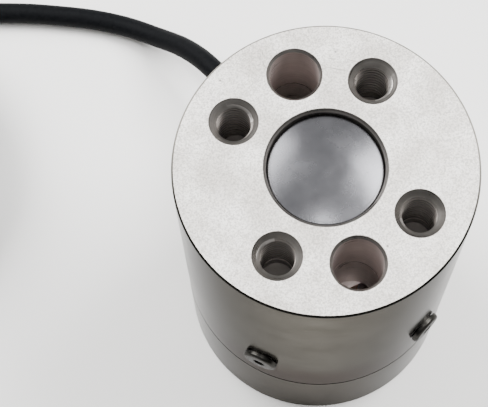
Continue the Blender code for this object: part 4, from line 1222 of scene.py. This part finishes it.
def loop_outline():
    """The tight loop round the corner cables, as (across, height) points."""
    outline = []
    count = len(loop_corners)
    for i, corner in enumerate(loop_corners):
        into = corner - loop_corners[i - 1]
        out_of = loop_corners[(i + 1) % count] - corner
        start = math.degrees(math.atan2(-into.x, into.y))
        turn = math.degrees(into.angle_signed(out_of))
        outline += arc(corner, LOOP_RADIUS, start, start + abs(turn), 6)
    return outline


def tie_strap(place):
    """The loop drawn out to the strap's width, then thickened outwards."""
    bm = bmesh.new()
    ring = [bm.verts.new((across, -TIE_WIDTH / 2, height)) for across, height in loop_outline()]
    edges = [bm.edges.new(pair) for pair in zip(ring, ring[1:] + ring[:1])]
    drawn = bmesh.ops.extrude_edge_only(bm, edges=edges)["geom"]
    moved = [v for v in drawn if isinstance(v, bmesh.types.BMVert)]
    bmesh.ops.translate(bm, vec=(0, TIE_WIDTH, 0), verts=moved)
    bmesh.ops.recalc_face_normals(bm, faces=bm.faces)
    outwards = sum(face.normal.dot(face.calc_center_median() - Vector((0, 0, row_high))) for face in bm.faces)
    bmesh.ops.solidify(bm, geom=bm.faces[:], thickness=math.copysign(TIE_THICKNESS, outwards))
    bmesh.ops.remove_doubles(bm, verts=bm.verts, dist=1e-7)
    bmesh.ops.recalc_face_normals(bm, faces=bm.faces)
    bmesh.ops.transform(bm, matrix=place, verts=bm.verts)
    return bm


def tie_lock(place):
    """The tie's lock: a small block with softened edges on the coil's outer side."""
    bm = bmesh.new()
    bmesh.ops.create_cube(bm, size=1, matrix=Matrix.Diagonal((TIE_LOCK, TIE_LOCK, TIE_LOCK, 1)))
    bmesh.ops.bevel(
        bm, geom=bm.edges[:], offset=LOCK_ROUND, segments=4, profile=0.5, affect="EDGES", material=-1
    )
    middle = (row_low + row_high) / 2
    across = CABLE_DIAMETER + LOOP_RADIUS + TIE_THICKNESS + 0.4 * TIE_LOCK
    bmesh.ops.transform(bm, matrix=place @ Matrix.Translation((across, 0, middle)), verts=bm.verts)
    return bm


for number, azimuth in enumerate(TIE_AZIMUTHS, 1):
    place = Matrix.Translation(COIL_CENTRE) @ on_axis(0, azimuth, COIL_MEAN_RADIUS)
    tie = as_object(f"coil_tie_{number}_nylon", tie_strap(place), nylon)
    carve(tie, [tie_lock(place)], "UNION")
    if not tie.data.materials:
        tie.data.materials.append(nylon)
    stand_for(shade(tie), f"coil_tie_{number}", slot="tie_nylon")

# %% [markdown]
# ## Floor and light
#
# The sensor stands on a plain pale floor. Polished steel has no colour of its own: it shows what stands
# round it. One large soft light stands behind it on the left and another at its right. They make the load
# face bright and throw the sensor's shadow forwards, and the wall mirrors that shaded floor, so it goes
# dark. A small weak light nearly overhead lights the near edge of the dome. The room is bright overhead and
# dark towards the horizon, which draws the dark line along the front of the rim. The camera itself sees an
# even bright room.

# %% Floor
FLOOR_HALF = 3
FLOOR_DROP = 0.0002
floor_bm = bmesh.new()
bmesh.ops.create_grid(floor_bm, x_segments=1, y_segments=1, size=FLOOR_HALF)
# Matt white card: it has no reflection, so only shadows mark it.
floor_material, _, _ = new_material("studio_floor", Roughness=0.9, Base_Color=linear("#FBFAF8"))
floor = as_object("floor", floor_bm, floor_material)
floor.location.z = -FLOOR_DROP
print("floor:", 2 * FLOOR_HALF, "m wide")


# %% Lights
LIGHT_DISTANCE = 0.9
SUBJECT = Vector((0, 0, 0.06))


def soft_light(name, azimuth, elevation, size, watts):
    """A square soft light at this azimuth and elevation, turned towards the sensor."""
    data = bpy.data.lights.new(name, "AREA")
    data.shape = "SQUARE"
    data.size = size
    data.energy = watts
    light = bpy.data.objects.new(name, data)
    level = LIGHT_DISTANCE * math.cos(math.radians(elevation))
    light.location = SUBJECT + at(level, azimuth, LIGHT_DISTANCE * math.sin(math.radians(elevation)))
    light.rotation_euler = (SUBJECT - light.location).to_track_quat("-Z", "Y").to_euler()
    bpy.context.scene.collection.objects.link(light)
    return light


soft_light("back_left_softbox", 128, 42, 0.60, 15.5)
soft_light("right_softbox", 6, 51, 0.50, 15)
soft_light("ceiling_light", -100, 81, 0.10, 1.0)

# %% The room
ROOM_DARK = 0.04
ROOM_BRIGHT = 1.25
SEEN_ROOM = 2.2
BRIGHT_SIDE = (0.0, 0.15, 0.989)
world = bpy.data.worlds.new("studio")
bpy.context.scene.world = world
world.use_nodes = True
tree = world.node_tree
background = tree.nodes["Background"]
direction = node(tree, COORDINATES, "Generated")
facing = node(tree, VECTORS, "Value", {"operation": "DOT_PRODUCT"}, i0=direction, i1=BRIGHT_SIDE)
glow = node(tree, MAP, i0=facing, i1=0.40, i2=0.90, i3=ROOM_DARK, i4=ROOM_BRIGHT)
seen = node(tree, "ShaderNodeLightPath", "Is Camera Ray")
strength = node(tree, MIX, 0, {"data_type": "FLOAT"}, i0=seen, i2=glow, i3=SEEN_ROOM)
tree.links.new(strength, background.inputs["Strength"])
background.inputs["Color"].default_value = (1, 1, 1, 1)
print("room:", ROOM_DARK, "at the horizon,", ROOM_BRIGHT, "overhead, seen as", SEEN_ROOM)
